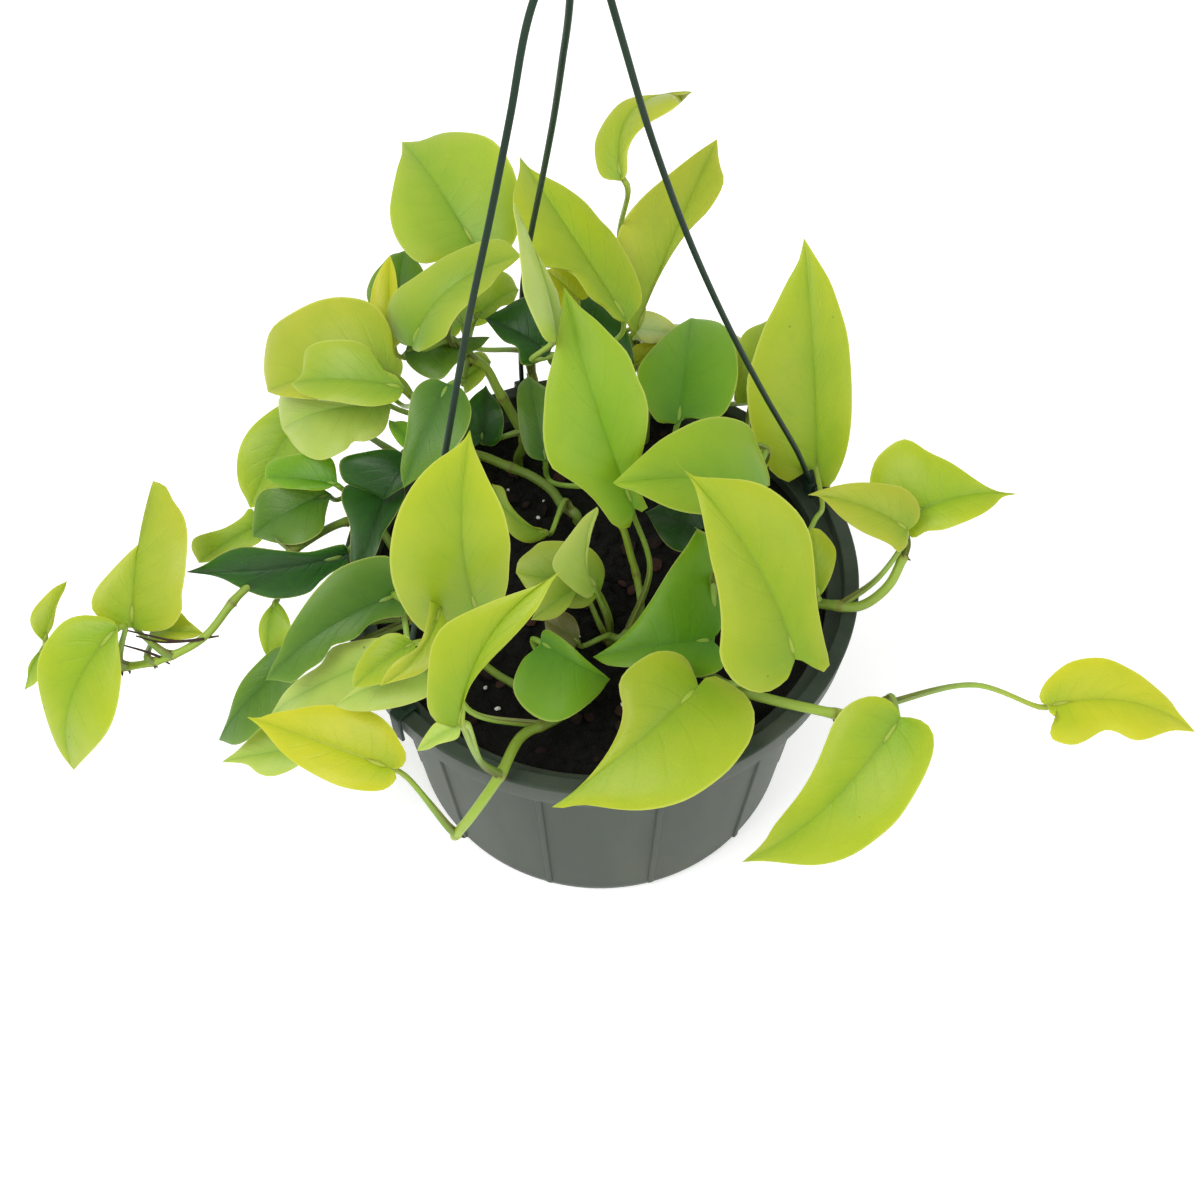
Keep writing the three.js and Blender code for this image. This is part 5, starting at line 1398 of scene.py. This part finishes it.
@dataclass(frozen=True)
class Hanger:
    """Three strands that clip over the pot's lip and meet in a collar with an open hook."""

    STRANDS = {
        "right": ((-3, 2, 484), (2, 4, 462), (8, 7, 438), (17, 10, 404), (33, 17, 352), (53, 25, 297),
                  (75, 34, 243), (97, 43, 192), (104.5, 48, 170), (107.4, 50, 161.5)),
        "back": ((-8, 4, 484), (-10, 10, 450), (-13, 20, 424), (-17, 35, 391), (-23, 56, 348), (-31, 84, 293),
                 (-37, 101, 250), (-41, 114, 195), (-42, 118, 172), (-42, 118, 161.5)),
        "left": ((-12, -4, 484), (-22, -14, 462), (-29, -22, 432), (-37, -30, 399), (-47, -40, 360),
                 (-60, -54, 302), (-75, -70, 235), (-86, -81, 185), (-89, -84, 171), (-89, -84, 161.5)),
    }
    pot: Pot = field(default_factory=Pot)
    strand_radius: float = 1.3
    clip_width: float = 7.0
    clip_thickness: float = 1.9
    clip_drop: float = 17.0
    clip_gap: float = 0.4
    hub: tuple[float, float, float] = (-8.0, 0.0, 478.0)
    hub_radius: float = 8.0
    hub_height: float = 16.0
    neck: float = 12.0
    hook_radius: float = 15.0
    hook_wire: float = 2.4

    def strand(self, side: str, plastic: bpy.types.Material) -> None:
        """One strand's tube, and the clip at its foot as a piece of its own."""
        places = [at(*place) for place in self.STRANDS[side]]
        line = SmoothLine(places).along(np.linspace(0, 1, 120))
        section = round_section(np.full(120, self.strand_radius), 20)
        cord = tube(line, section, flat_tint(WHITE, (120, 20)))
        strand = make_piece(f"strand_{side}_cord", [cord], [plastic])
        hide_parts(f"strand_{side}")
        clip = make_piece(f"strand_{side}_clip", [self.clip(places[-1])], [plastic])

    def clip(self, foot: np.ndarray) -> Patch:
        """An inverted U over the lip, its section carried straight across the clip's width.

        The section is walked as a line down the inside, over the top and down the outside, and
        each ring across that line is a box with rounded corners, a superellipse of power six.
        """
        inside = self.pot.rim - self.pot.lip_width - self.clip_gap - self.clip_thickness / 2
        outside = self.pot.rim + self.clip_gap + self.clip_thickness / 2
        top = self.pot.height + self.clip_gap + self.clip_thickness / 2
        bend = 1.2
        walk = [
            (inside, self.pot.ledge + 2), (inside, top - bend), (inside + bend * 0.3, top - bend * 0.3),
            (inside + bend, top), (outside - bend, top), (outside - bend * 0.3, top - bend * 0.3),
            (outside, top - bend), (outside, self.pot.height - self.clip_drop),
        ]
        turn = math.atan2(foot[1], foot[0])
        out = at(math.cos(turn), math.sin(turn), 0)
        side = at(-math.sin(turn), math.cos(turn), 0)
        line = np.array([out * radius + UP * height for radius, height in walk])
        run = unit(np.gradient(line, axis=0))
        thick = np.cross(run, side)
        angle = np.linspace(0, TAU, 24, endpoint=False)
        power = 2 / 6
        across = np.sign(np.cos(angle)) * np.abs(np.cos(angle)) ** power * self.clip_width / 2
        deep = np.sign(np.sin(angle)) * np.abs(np.sin(angle)) ** power * self.clip_thickness / 2
        rings = line[:, None] + across[None, :, None] * side + deep[None, :, None] * thick[:, None]
        uv = np.stack(np.broadcast_arrays(np.arange(len(line))[:, None], angle[None]), axis=-1).astype(float)
        return ringed(rings, uv, flat_tint(WHITE, rings.shape[:2]))

    def hook(self, plastic: bpy.types.Material) -> None:
        """The collar that holds the strands' heads, turned from a section, and the hook's bent wire."""
        hub = at(*self.hub)
        share = np.array([0, 0.03, 0.1, 0.5, 0.9, 0.97, 1.0])
        radii = self.hub_radius * np.array([0.93, 0.99, 0.97, 0.78, 0.6, 0.58, 0.5])
        collar_line = hub + UP * (share * self.hub_height)[:, None]
        collar = tube(collar_line, round_section(radii, 32), flat_tint(WHITE, (7, 32)))
        top = hub + UP * self.hub_height
        places = [top - UP * self.neck / 3, top + UP * self.neck * 2 / 3]
        for degrees in range(-70, 171, 30):
            angle = math.radians(degrees)
            reach = self.hook_radius * (0.6 if degrees < -40 else 1.0)
            rise = self.neck + self.hook_radius * (1 + math.sin(angle))
            places.append(top + at(reach * math.cos(angle), 0, rise))
        line = SmoothLine(places).along(np.linspace(0, 1, 90))
        radii = self.hook_wire * np.interp(np.linspace(0, 1, 90), [0, 0.96, 1], [1, 1, 0.6])
        wire = tube(line, round_section(radii, 18), flat_tint(WHITE, (90, 18)))
        hook = make_piece("hook_and_collar", [collar, wire], [plastic])
        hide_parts("hook")

    def build(self, plastic: bpy.types.Material) -> None:
        """The hook and all three strands."""
        self.hook(plastic)
        for side in self.STRANDS:
            self.strand(side, plastic)


class NodeBench:
    """Adds shader nodes to one tree and wires their inputs."""

    def __init__(self, tree: bpy.types.NodeTree) -> None:
        """Works on the given tree."""
        self.tree = tree

    def add(self, kind: str, inputs: dict | None = None, **settings: object) -> bpy.types.Node:
        """Adds a node.

        Args:
            kind: The node's type without the leading ShaderNode.
            inputs: Sockets by name or number, each a value or the output socket that feeds it.
            settings: The node's own properties.

        Returns:
            The new node.
        """
        node = self.tree.nodes.new(f"ShaderNode{kind}")
        for name, value in settings.items():
            setattr(node, name, value)
        for name, value in (inputs or {}).items():
            socket = node.inputs[name]
            if isinstance(value, bpy.types.NodeSocket):
                self.tree.links.new(value, socket)
            else:
                socket.default_value = value
        return node

    def maths(self, operation: str, *values: object) -> bpy.types.NodeSocket:
        """The result of a Math node."""
        return self.add("Math", dict(enumerate(values)), operation=operation).outputs[0]

    def mix(self, share: object, first: object, second: object, blend: str = "MIX") -> bpy.types.NodeSocket:
        """Two colours mixed by a share."""
        inputs = {0: share, 6: first, 7: second}
        return self.add("Mix", inputs, data_type="RGBA", blend_type=blend).outputs[2]

    def ranged(
        self, value: object, low: float, high: float, to_low: float, to_high: float
    ) -> bpy.types.NodeSocket:
        """A value carried smoothly from one range to another."""
        inputs = {"Value": value, 1: low, 2: high, 3: to_low, 4: to_high}
        return self.add("MapRange", inputs, interpolation_type="SMOOTHSTEP").outputs[0]


def new_group(name: str, takes: dict, gives: dict) -> tuple[bpy.types.NodeTree, NodeBench, object, object]:
    """An empty shader node group with named sockets.

    Args:
        name: The group's name.
        takes: Input names with their default values; a tuple of four is a colour, of three a vector.
        gives: Output names with "Float", "Color" or "Vector".

    Returns:
        The group, a bench on it, its input node's outputs and its output node's inputs.
    """
    tree = bpy.data.node_groups.new(name, "ShaderNodeTree")
    for title, value in takes.items():
        kind = "Float" if isinstance(value, (int, float)) else ("Color" if len(value) == 4 else "Vector")
        socket = tree.interface.new_socket(title, in_out="INPUT", socket_type=f"NodeSocket{kind}")
        socket.default_value = value
    for title, kind in gives.items():
        tree.interface.new_socket(title, in_out="OUTPUT", socket_type=f"NodeSocket{kind}")
    bench = NodeBench(tree)
    source, sink = (tree.nodes.new(f"NodeGroup{end}") for end in ("Input", "Output"))
    return tree, bench, source.outputs, sink.inputs


def mottle_group() -> bpy.types.NodeTree:
    """Soft blotches and fine grain: a broad and a fine noise in the piece's own place.

    Takes a place, the size of the blotches and of the grain per metre; gives both as values about
    a half.
    """
    tree, bench, takes, gives = new_group(
        "Mottle and grain", {"Place": (0, 0, 0), "Blotch scale": 40.0, "Grain scale": 900.0},
        {"Blotch": "Float", "Grain": "Float"},
    )
    broad = bench.add("TexNoise", {"Vector": takes["Place"], "Scale": takes["Blotch scale"], "Detail": 3.0})
    fine = bench.add("TexNoise", {"Vector": takes["Place"], "Scale": takes["Grain scale"], "Detail": 2.0})
    tree.links.new(broad.outputs[0], gives["Blotch"])
    tree.links.new(fine.outputs[0], gives["Grain"])
    return tree


def vein_group() -> bpy.types.NodeTree:
    """The lines on a blade, from its uv: along the rows in u and across the halves in v.

    The rib is where the distance from the middle falls under a width that tapers to the tip. The
    side veins are a cosine of u that runs forward with that distance. The rim is the last sliver.
    """
    tree, bench, takes, gives = new_group(
        "Blade lines", {"UV": (0, 0, 0), "Side veins": 8.0},
        {"Rib": "Float", "Veins": "Float", "Rim": "Float", "Off rib": "Float", "Along": "Float"},
    )
    parts = bench.add("SeparateXYZ", {0: takes["UV"]}).outputs
    off_rib = bench.maths("ABSOLUTE", bench.maths("MULTIPLY_ADD", parts["Y"], 2.0, -1.0))
    width = bench.maths("MULTIPLY_ADD", parts["X"], -0.035, 0.05)
    rib = bench.ranged(bench.maths("DIVIDE", off_rib, width), 0.3, 1.6, 1.0, 0.0)
    count = bench.maths("MULTIPLY", parts["X"], takes["Side veins"])
    wave = bench.maths("MULTIPLY_ADD", off_rib, -1.3, count)
    crest = bench.maths("COSINE", bench.maths("MULTIPLY", wave, TAU))
    crests, inside = bench.ranged(crest, 0.82, 1.0, 0.0, 1.0), bench.ranged(off_rib, 0.9, 0.4, 0.0, 1.0)
    veins = bench.maths("MULTIPLY", crests, inside)
    rim = bench.ranged(off_rib, 0.955, 1.0, 0.0, 1.0)
    found = {"Rib": rib, "Veins": veins, "Rim": rim, "Off rib": off_rib, "Along": parts["X"]}
    for title, value in found.items():
        tree.links.new(value, gives[title])
    return tree


@dataclass(frozen=True)
class Finish:
    """What every finish shares: a named material with a Principled shader and the mottle group."""

    name: str

    def start(self, mottle: bpy.types.NodeTree, blotch: float, grain: float) -> tuple:
        """Opens the material and places its mottle.

        Args:
            mottle: The shared mottle group.
            blotch: Blotches per metre.
            grain: Grains per metre.

        Returns:
            The material, its bench, its Principled shader and the mottle's outputs.
        """
        material = bpy.data.materials.new(self.name)
        material.use_nodes = True
        bench = NodeBench(material.node_tree)
        shader = material.node_tree.nodes["Principled BSDF"]
        place = bench.add("TexCoord").outputs["Object"]
        inputs = {"Place": place, "Blotch scale": blotch, "Grain scale": grain}
        group = bench.add("Group", inputs, node_tree=mottle)
        return material, bench, shader, group.outputs

    @staticmethod
    def wire(bench: NodeBench, shader: bpy.types.Node, colour: object, roughness: object, bump: object,
             height: float) -> None:
        """Feeds the shader's colour and roughness, and bumps its surface by a height in metres."""
        bench.tree.links.new(colour, shader.inputs["Base Color"])
        bench.tree.links.new(roughness, shader.inputs["Roughness"])
        relief = bench.add("Bump", {"Height": bump, "Distance": height, "Strength": 1.0})
        bench.tree.links.new(relief.outputs[0], shader.inputs["Normal"])


@dataclass(frozen=True)
class LeafFinish(Finish):
    """A satin blade: the tint of its vertices with veins, rim, freckles and a glow through it."""

    BLOTCH = 0.34
    VEIN = 0.08
    NEAR_RIB = 0.24
    HEEL = 0.55
    RIB = 0.26
    RIM = 0.36
    FRECKLE = 0.75
    RARITY = 0.86

    def build(self, mottle: bpy.types.NodeTree, veins: bpy.types.NodeTree) -> bpy.types.Material:
        """The blade's material."""
        material, bench, shader, marks = self.start(mottle, 55.0, 1400.0)
        tint = bench.add("Attribute", attribute_name="tint").outputs["Color"]
        under = bench.add("Attribute", attribute_name="under").outputs["Fac"]
        uv = bench.add("UVMap", uv_map="surface").outputs[0]
        lines = bench.add("Group", {"UV": uv}, node_tree=veins)
        rib, side, rim, off, along = lines.outputs
        blotch = bench.ranged(marks["Blotch"], 0.25, 0.75, 0.0, 1.0)
        blotches = bench.maths("MULTIPLY", blotch, self.BLOTCH)
        colour = bench.mix(blotches, tint, (0.66, 0.86, 0.6, 1), "MULTIPLY")
        colour = bench.mix(bench.maths("MULTIPLY", side, self.VEIN), colour, (0.6, 0.8, 0.5, 1), "MULTIPLY")
        low, inner = bench.ranged(along, 0.5, 0.05, 0.0, 1.0), bench.ranged(off, 0.95, 0.3, 0.0, 1.0)
        heel = bench.maths("MULTIPLY", bench.maths("MULTIPLY", low, inner), self.HEEL)
        near = bench.maths("MAXIMUM", bench.ranged(off, 0.4, 0.0, 0.0, self.NEAR_RIB), heel)
        colour = bench.mix(near, colour, (0.58, 0.82, 0.55, 1), "MULTIPLY")
        rib_share = bench.maths("MULTIPLY", rib, self.RIB)
        colour = bench.mix(rib_share, colour, (0.56, 0.72, 0.3, 1), "MULTIPLY")
        colour = bench.mix(bench.maths("MULTIPLY", rim, self.RIM), colour, (*linear(196, 200, 104), 1))
        place = bench.add("TexCoord").outputs["Object"]
        spots = bench.add("TexVoronoi", {"Vector": place, "Scale": 95.0, "Randomness": 1.0}, feature="F1")
        spot = bench.ranged(spots.outputs["Distance"], 0.035, 0.075, 1.0, 0.0)
        lot = bench.add("SeparateColor", {0: spots.outputs["Color"]}).outputs[0]
        rare = bench.maths("GREATER_THAN", lot, self.RARITY)
        freckle = bench.maths("MULTIPLY", spot, rare)
        colour = bench.mix(bench.maths("MULTIPLY", freckle, self.FRECKLE), colour, (*linear(104, 88, 30), 1))
        rough = bench.maths("MULTIPLY_ADD", marks["Grain"], 0.12, 0.34)
        rough = bench.maths("MULTIPLY_ADD", under, 0.2, rough)
        height = bench.maths("MULTIPLY_ADD", side, -0.18, bench.maths("MULTIPLY", marks["Grain"], 0.35))
        self.wire(bench, shader, colour, rough, height, 0.0004)
        shader.inputs["Subsurface Weight"].default_value = 0.3
        shader.inputs["Subsurface Radius"].default_value = (0.8, 1.0, 0.25)
        shader.inputs["Subsurface Scale"].default_value = 0.004
        shader.inputs["Specular IOR Level"].default_value = 0.3
        return material


@dataclass(frozen=True)
class StalkFinish(Finish):
    """Smooth fleshy stalk: the tint of its vertices with faint lengthwise streaks."""

    roughness: float = 0.42

    def build(self, mottle: bpy.types.NodeTree) -> bpy.types.Material:
        """The stalk's material."""
        material, bench, shader, marks = self.start(mottle, 90.0, 1500.0)
        tint = bench.add("Attribute", attribute_name="tint").outputs["Color"]
        uv = bench.add("UVMap", uv_map="surface").outputs[0]
        stretched = bench.add("Mapping", {"Vector": uv, "Scale": (0.05, 14.0, 1.0)}).outputs[0]
        streak = bench.add("TexNoise", {"Vector": stretched, "Scale": 2.0, "Detail": 2.0}).outputs[0]
        streaks = bench.ranged(streak, 0.35, 0.7, 0.0, 0.35)
        colour = bench.mix(streaks, tint, (0.7, 0.8, 0.55, 1), "MULTIPLY")
        blotches = bench.ranged(marks["Blotch"], 0.5, 0.75, 0.0, 0.3)
        colour = bench.mix(blotches, colour, (0.75, 0.7, 0.5, 1), "MULTIPLY")
        rough = bench.maths("MULTIPLY_ADD", marks["Grain"], 0.15, self.roughness - 0.07)
        self.wire(bench, shader, colour, rough, streak, 0.0003)
        shader.inputs["Subsurface Weight"].default_value = 0.15
        shader.inputs["Subsurface Radius"].default_value = (0.8, 1.0, 0.3)
        shader.inputs["Subsurface Scale"].default_value = 0.003
        return material


@dataclass(frozen=True)
class SoilFinish(Finish):
    """Damp dark mix or dry grains: the tint of the vertices broken by crumbs of brown."""

    scatter: float = 0.8
    crumb: float = 0.0009

    def build(self, mottle: bpy.types.NodeTree) -> bpy.types.Material:
        """The mix's or the grains' material."""
        material, bench, shader, marks = self.start(mottle, 160.0, 1100.0)
        tint = bench.add("Attribute", attribute_name="tint").outputs["Color"]
        lighter = bench.mix(1.0, tint, (2.4, 2.2, 2.0, 1), "MULTIPLY")
        share = bench.maths("MULTIPLY", bench.ranged(marks["Blotch"], 0.45, 0.7, 0.0, 1.0), self.scatter)
        colour = bench.mix(share, tint, lighter)
        damp = bench.ranged(marks["Grain"], 0.5, 0.3, 0.0, 0.6)
        colour = bench.mix(damp, colour, (0.35, 0.35, 0.35, 1), "MULTIPLY")
        rough = bench.ranged(marks["Blotch"], 0.3, 0.6, 0.62, 0.95)
        self.wire(bench, shader, colour, rough, marks["Grain"], self.crumb)
        shader.inputs["Specular IOR Level"].default_value = 0.2
        return material


@dataclass(frozen=True)
class PlasticFinish(Finish):
    """Moulded plastic with a fine grain, faint streaks down the wall and a dusting of dry soil."""

    colour: tuple[float, float, float] = (0.1, 0.12, 0.11)
    worn: tuple[float, float, float] = (0.2, 0.22, 0.2)
    roughness: float = 0.45
    dust: float = 0.25

    def build(self, mottle: bpy.types.NodeTree) -> bpy.types.Material:
        """The plastic's material."""
        material, bench, shader, marks = self.start(mottle, 26.0, 2200.0)
        place = bench.add("TexCoord").outputs["Object"]
        streaked = bench.add("Mapping", {"Vector": place, "Scale": (70.0, 70.0, 6.0)}).outputs[0]
        streak = bench.add("TexNoise", {"Vector": streaked, "Scale": 1.0, "Detail": 3.0}).outputs[0]
        base = bench.mix(bench.ranged(streak, 0.35, 0.7, 0.0, 0.5), (*self.colour, 1), (*self.worn, 1))
        dusty = bench.maths("MULTIPLY", bench.ranged(marks["Blotch"], 0.45, 0.8, 0.0, 1.0), self.dust)
        colour = bench.mix(dusty, base, (*linear(120, 112, 96), 1))
        grainy = bench.maths("MULTIPLY_ADD", marks["Grain"], 0.12, self.roughness - 0.06)
        rough = bench.maths("MULTIPLY_ADD", dusty, 0.3, grainy)
        self.wire(bench, shader, colour, rough, marks["Grain"], 0.00025)
        shader.inputs["Specular IOR Level"].default_value = 0.14
        return material


@dataclass(frozen=True)
class Studio:
    """The pale floor, the soft lights and the camera at the photograph's angle."""

    floor_size: float = 8.0

    def build(self) -> None:
        """Makes the floor, the world, the lights and the camera."""
        scene = bpy.context.scene
        mesh = bpy.data.meshes.new("floor")
        half = self.floor_size / 2
        corners = [(-half, -half, 0), (half, -half, 0), (half, half, 0), (-half, half, 0)]
        mesh.from_pydata(corners, [], [(0, 1, 2, 3)])
        floor = bpy.data.objects.new("floor", mesh)
        scene.collection.objects.link(floor)
        white = bpy.data.materials.new("white floor")
        white.use_nodes = True
        shader = white.node_tree.nodes["Principled BSDF"]
        shader.inputs["Base Color"].default_value = (0.93, 0.93, 0.93, 1)
        shader.inputs["Roughness"].default_value = 0.9
        shader.inputs["Emission Color"].default_value = (1, 1, 1, 1)
        shader.inputs["Emission Strength"].default_value = 0.35
        mesh.materials.append(white)
        world = bpy.data.worlds.new("studio")
        world.use_nodes = True
        background = world.node_tree.nodes["Background"]
        background.inputs[0].default_value = (1, 1, 1, 1)
        background.inputs[1].default_value = 0.8
        scene.world = world
        self.area("key light", at(-700, -500, 1500), 900, 14.0)
        self.area("fill light", at(900, -900, 1100), 900, 5.0)
        lens = FOCAL_PIXELS * SENSOR_MM / FRAME_SIZE
        camera = bpy.data.cameras.new("camera")
        camera.lens, camera.sensor_width = lens, SENSOR_MM
        camera.clip_start, camera.clip_end = 0.01, 50.0
        holder = bpy.data.objects.new("camera", camera)
        holder.location = EYE * MM
        holder.rotation_euler = (math.pi / 2 - PITCH, 0, 0)
        scene.collection.objects.link(holder)
        scene.camera = holder
        scene.view_settings.view_transform = "Standard"

    def area(self, name: str, place: np.ndarray, size: float, watts: float) -> None:
        """A square soft light that faces the plant."""
        light = bpy.data.lights.new(name, "AREA")
        light.size, light.energy = size * MM, watts
        holder = bpy.data.objects.new(name, light)
        holder.location = place * MM
        holder.rotation_euler = Vector(at(0, 0, 160) - place).to_track_quat("-Z", "Y").to_euler()
        bpy.context.scene.collection.objects.link(holder)


def main() -> None:
    """Builds the finishes, the studio and every piece."""
    logging.basicConfig(level=logging.INFO, format="%(message)s")
    mottle, veins = mottle_group(), vein_group()
    Studio().build()
    pot_plastic = PlasticFinish("pot plastic", linear(52, 62, 50), linear(64, 74, 60), 0.4, 0.09)
    hanger_plastic = PlasticFinish("hanger plastic", linear(30, 48, 36), linear(44, 62, 48), 0.36, 0.05)
    Pot().build(pot_plastic.build(mottle))
    Hanger().build(hanger_plastic.build(mottle))
    Soil().build(
        SoilFinish("potting mix", 0.8, 0.0012).build(mottle),
        SoilFinish("perlite and bark", 0.15, 0.0004).build(mottle),
    )
    blade = LeafFinish("leaf").build(mottle, veins)
    stalk = StalkFinish("stalk and vine").build(mottle)
    root = StalkFinish("dry root", 0.7).build(mottle)
    draw = np.random.default_rng(7)
    for name, stem in STEMS.items():
        plant = make_piece(f"{name}_foliage", stem.patches(draw), [blade, stalk, root])
        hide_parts(name)


if __name__ == "__main__":
    main()
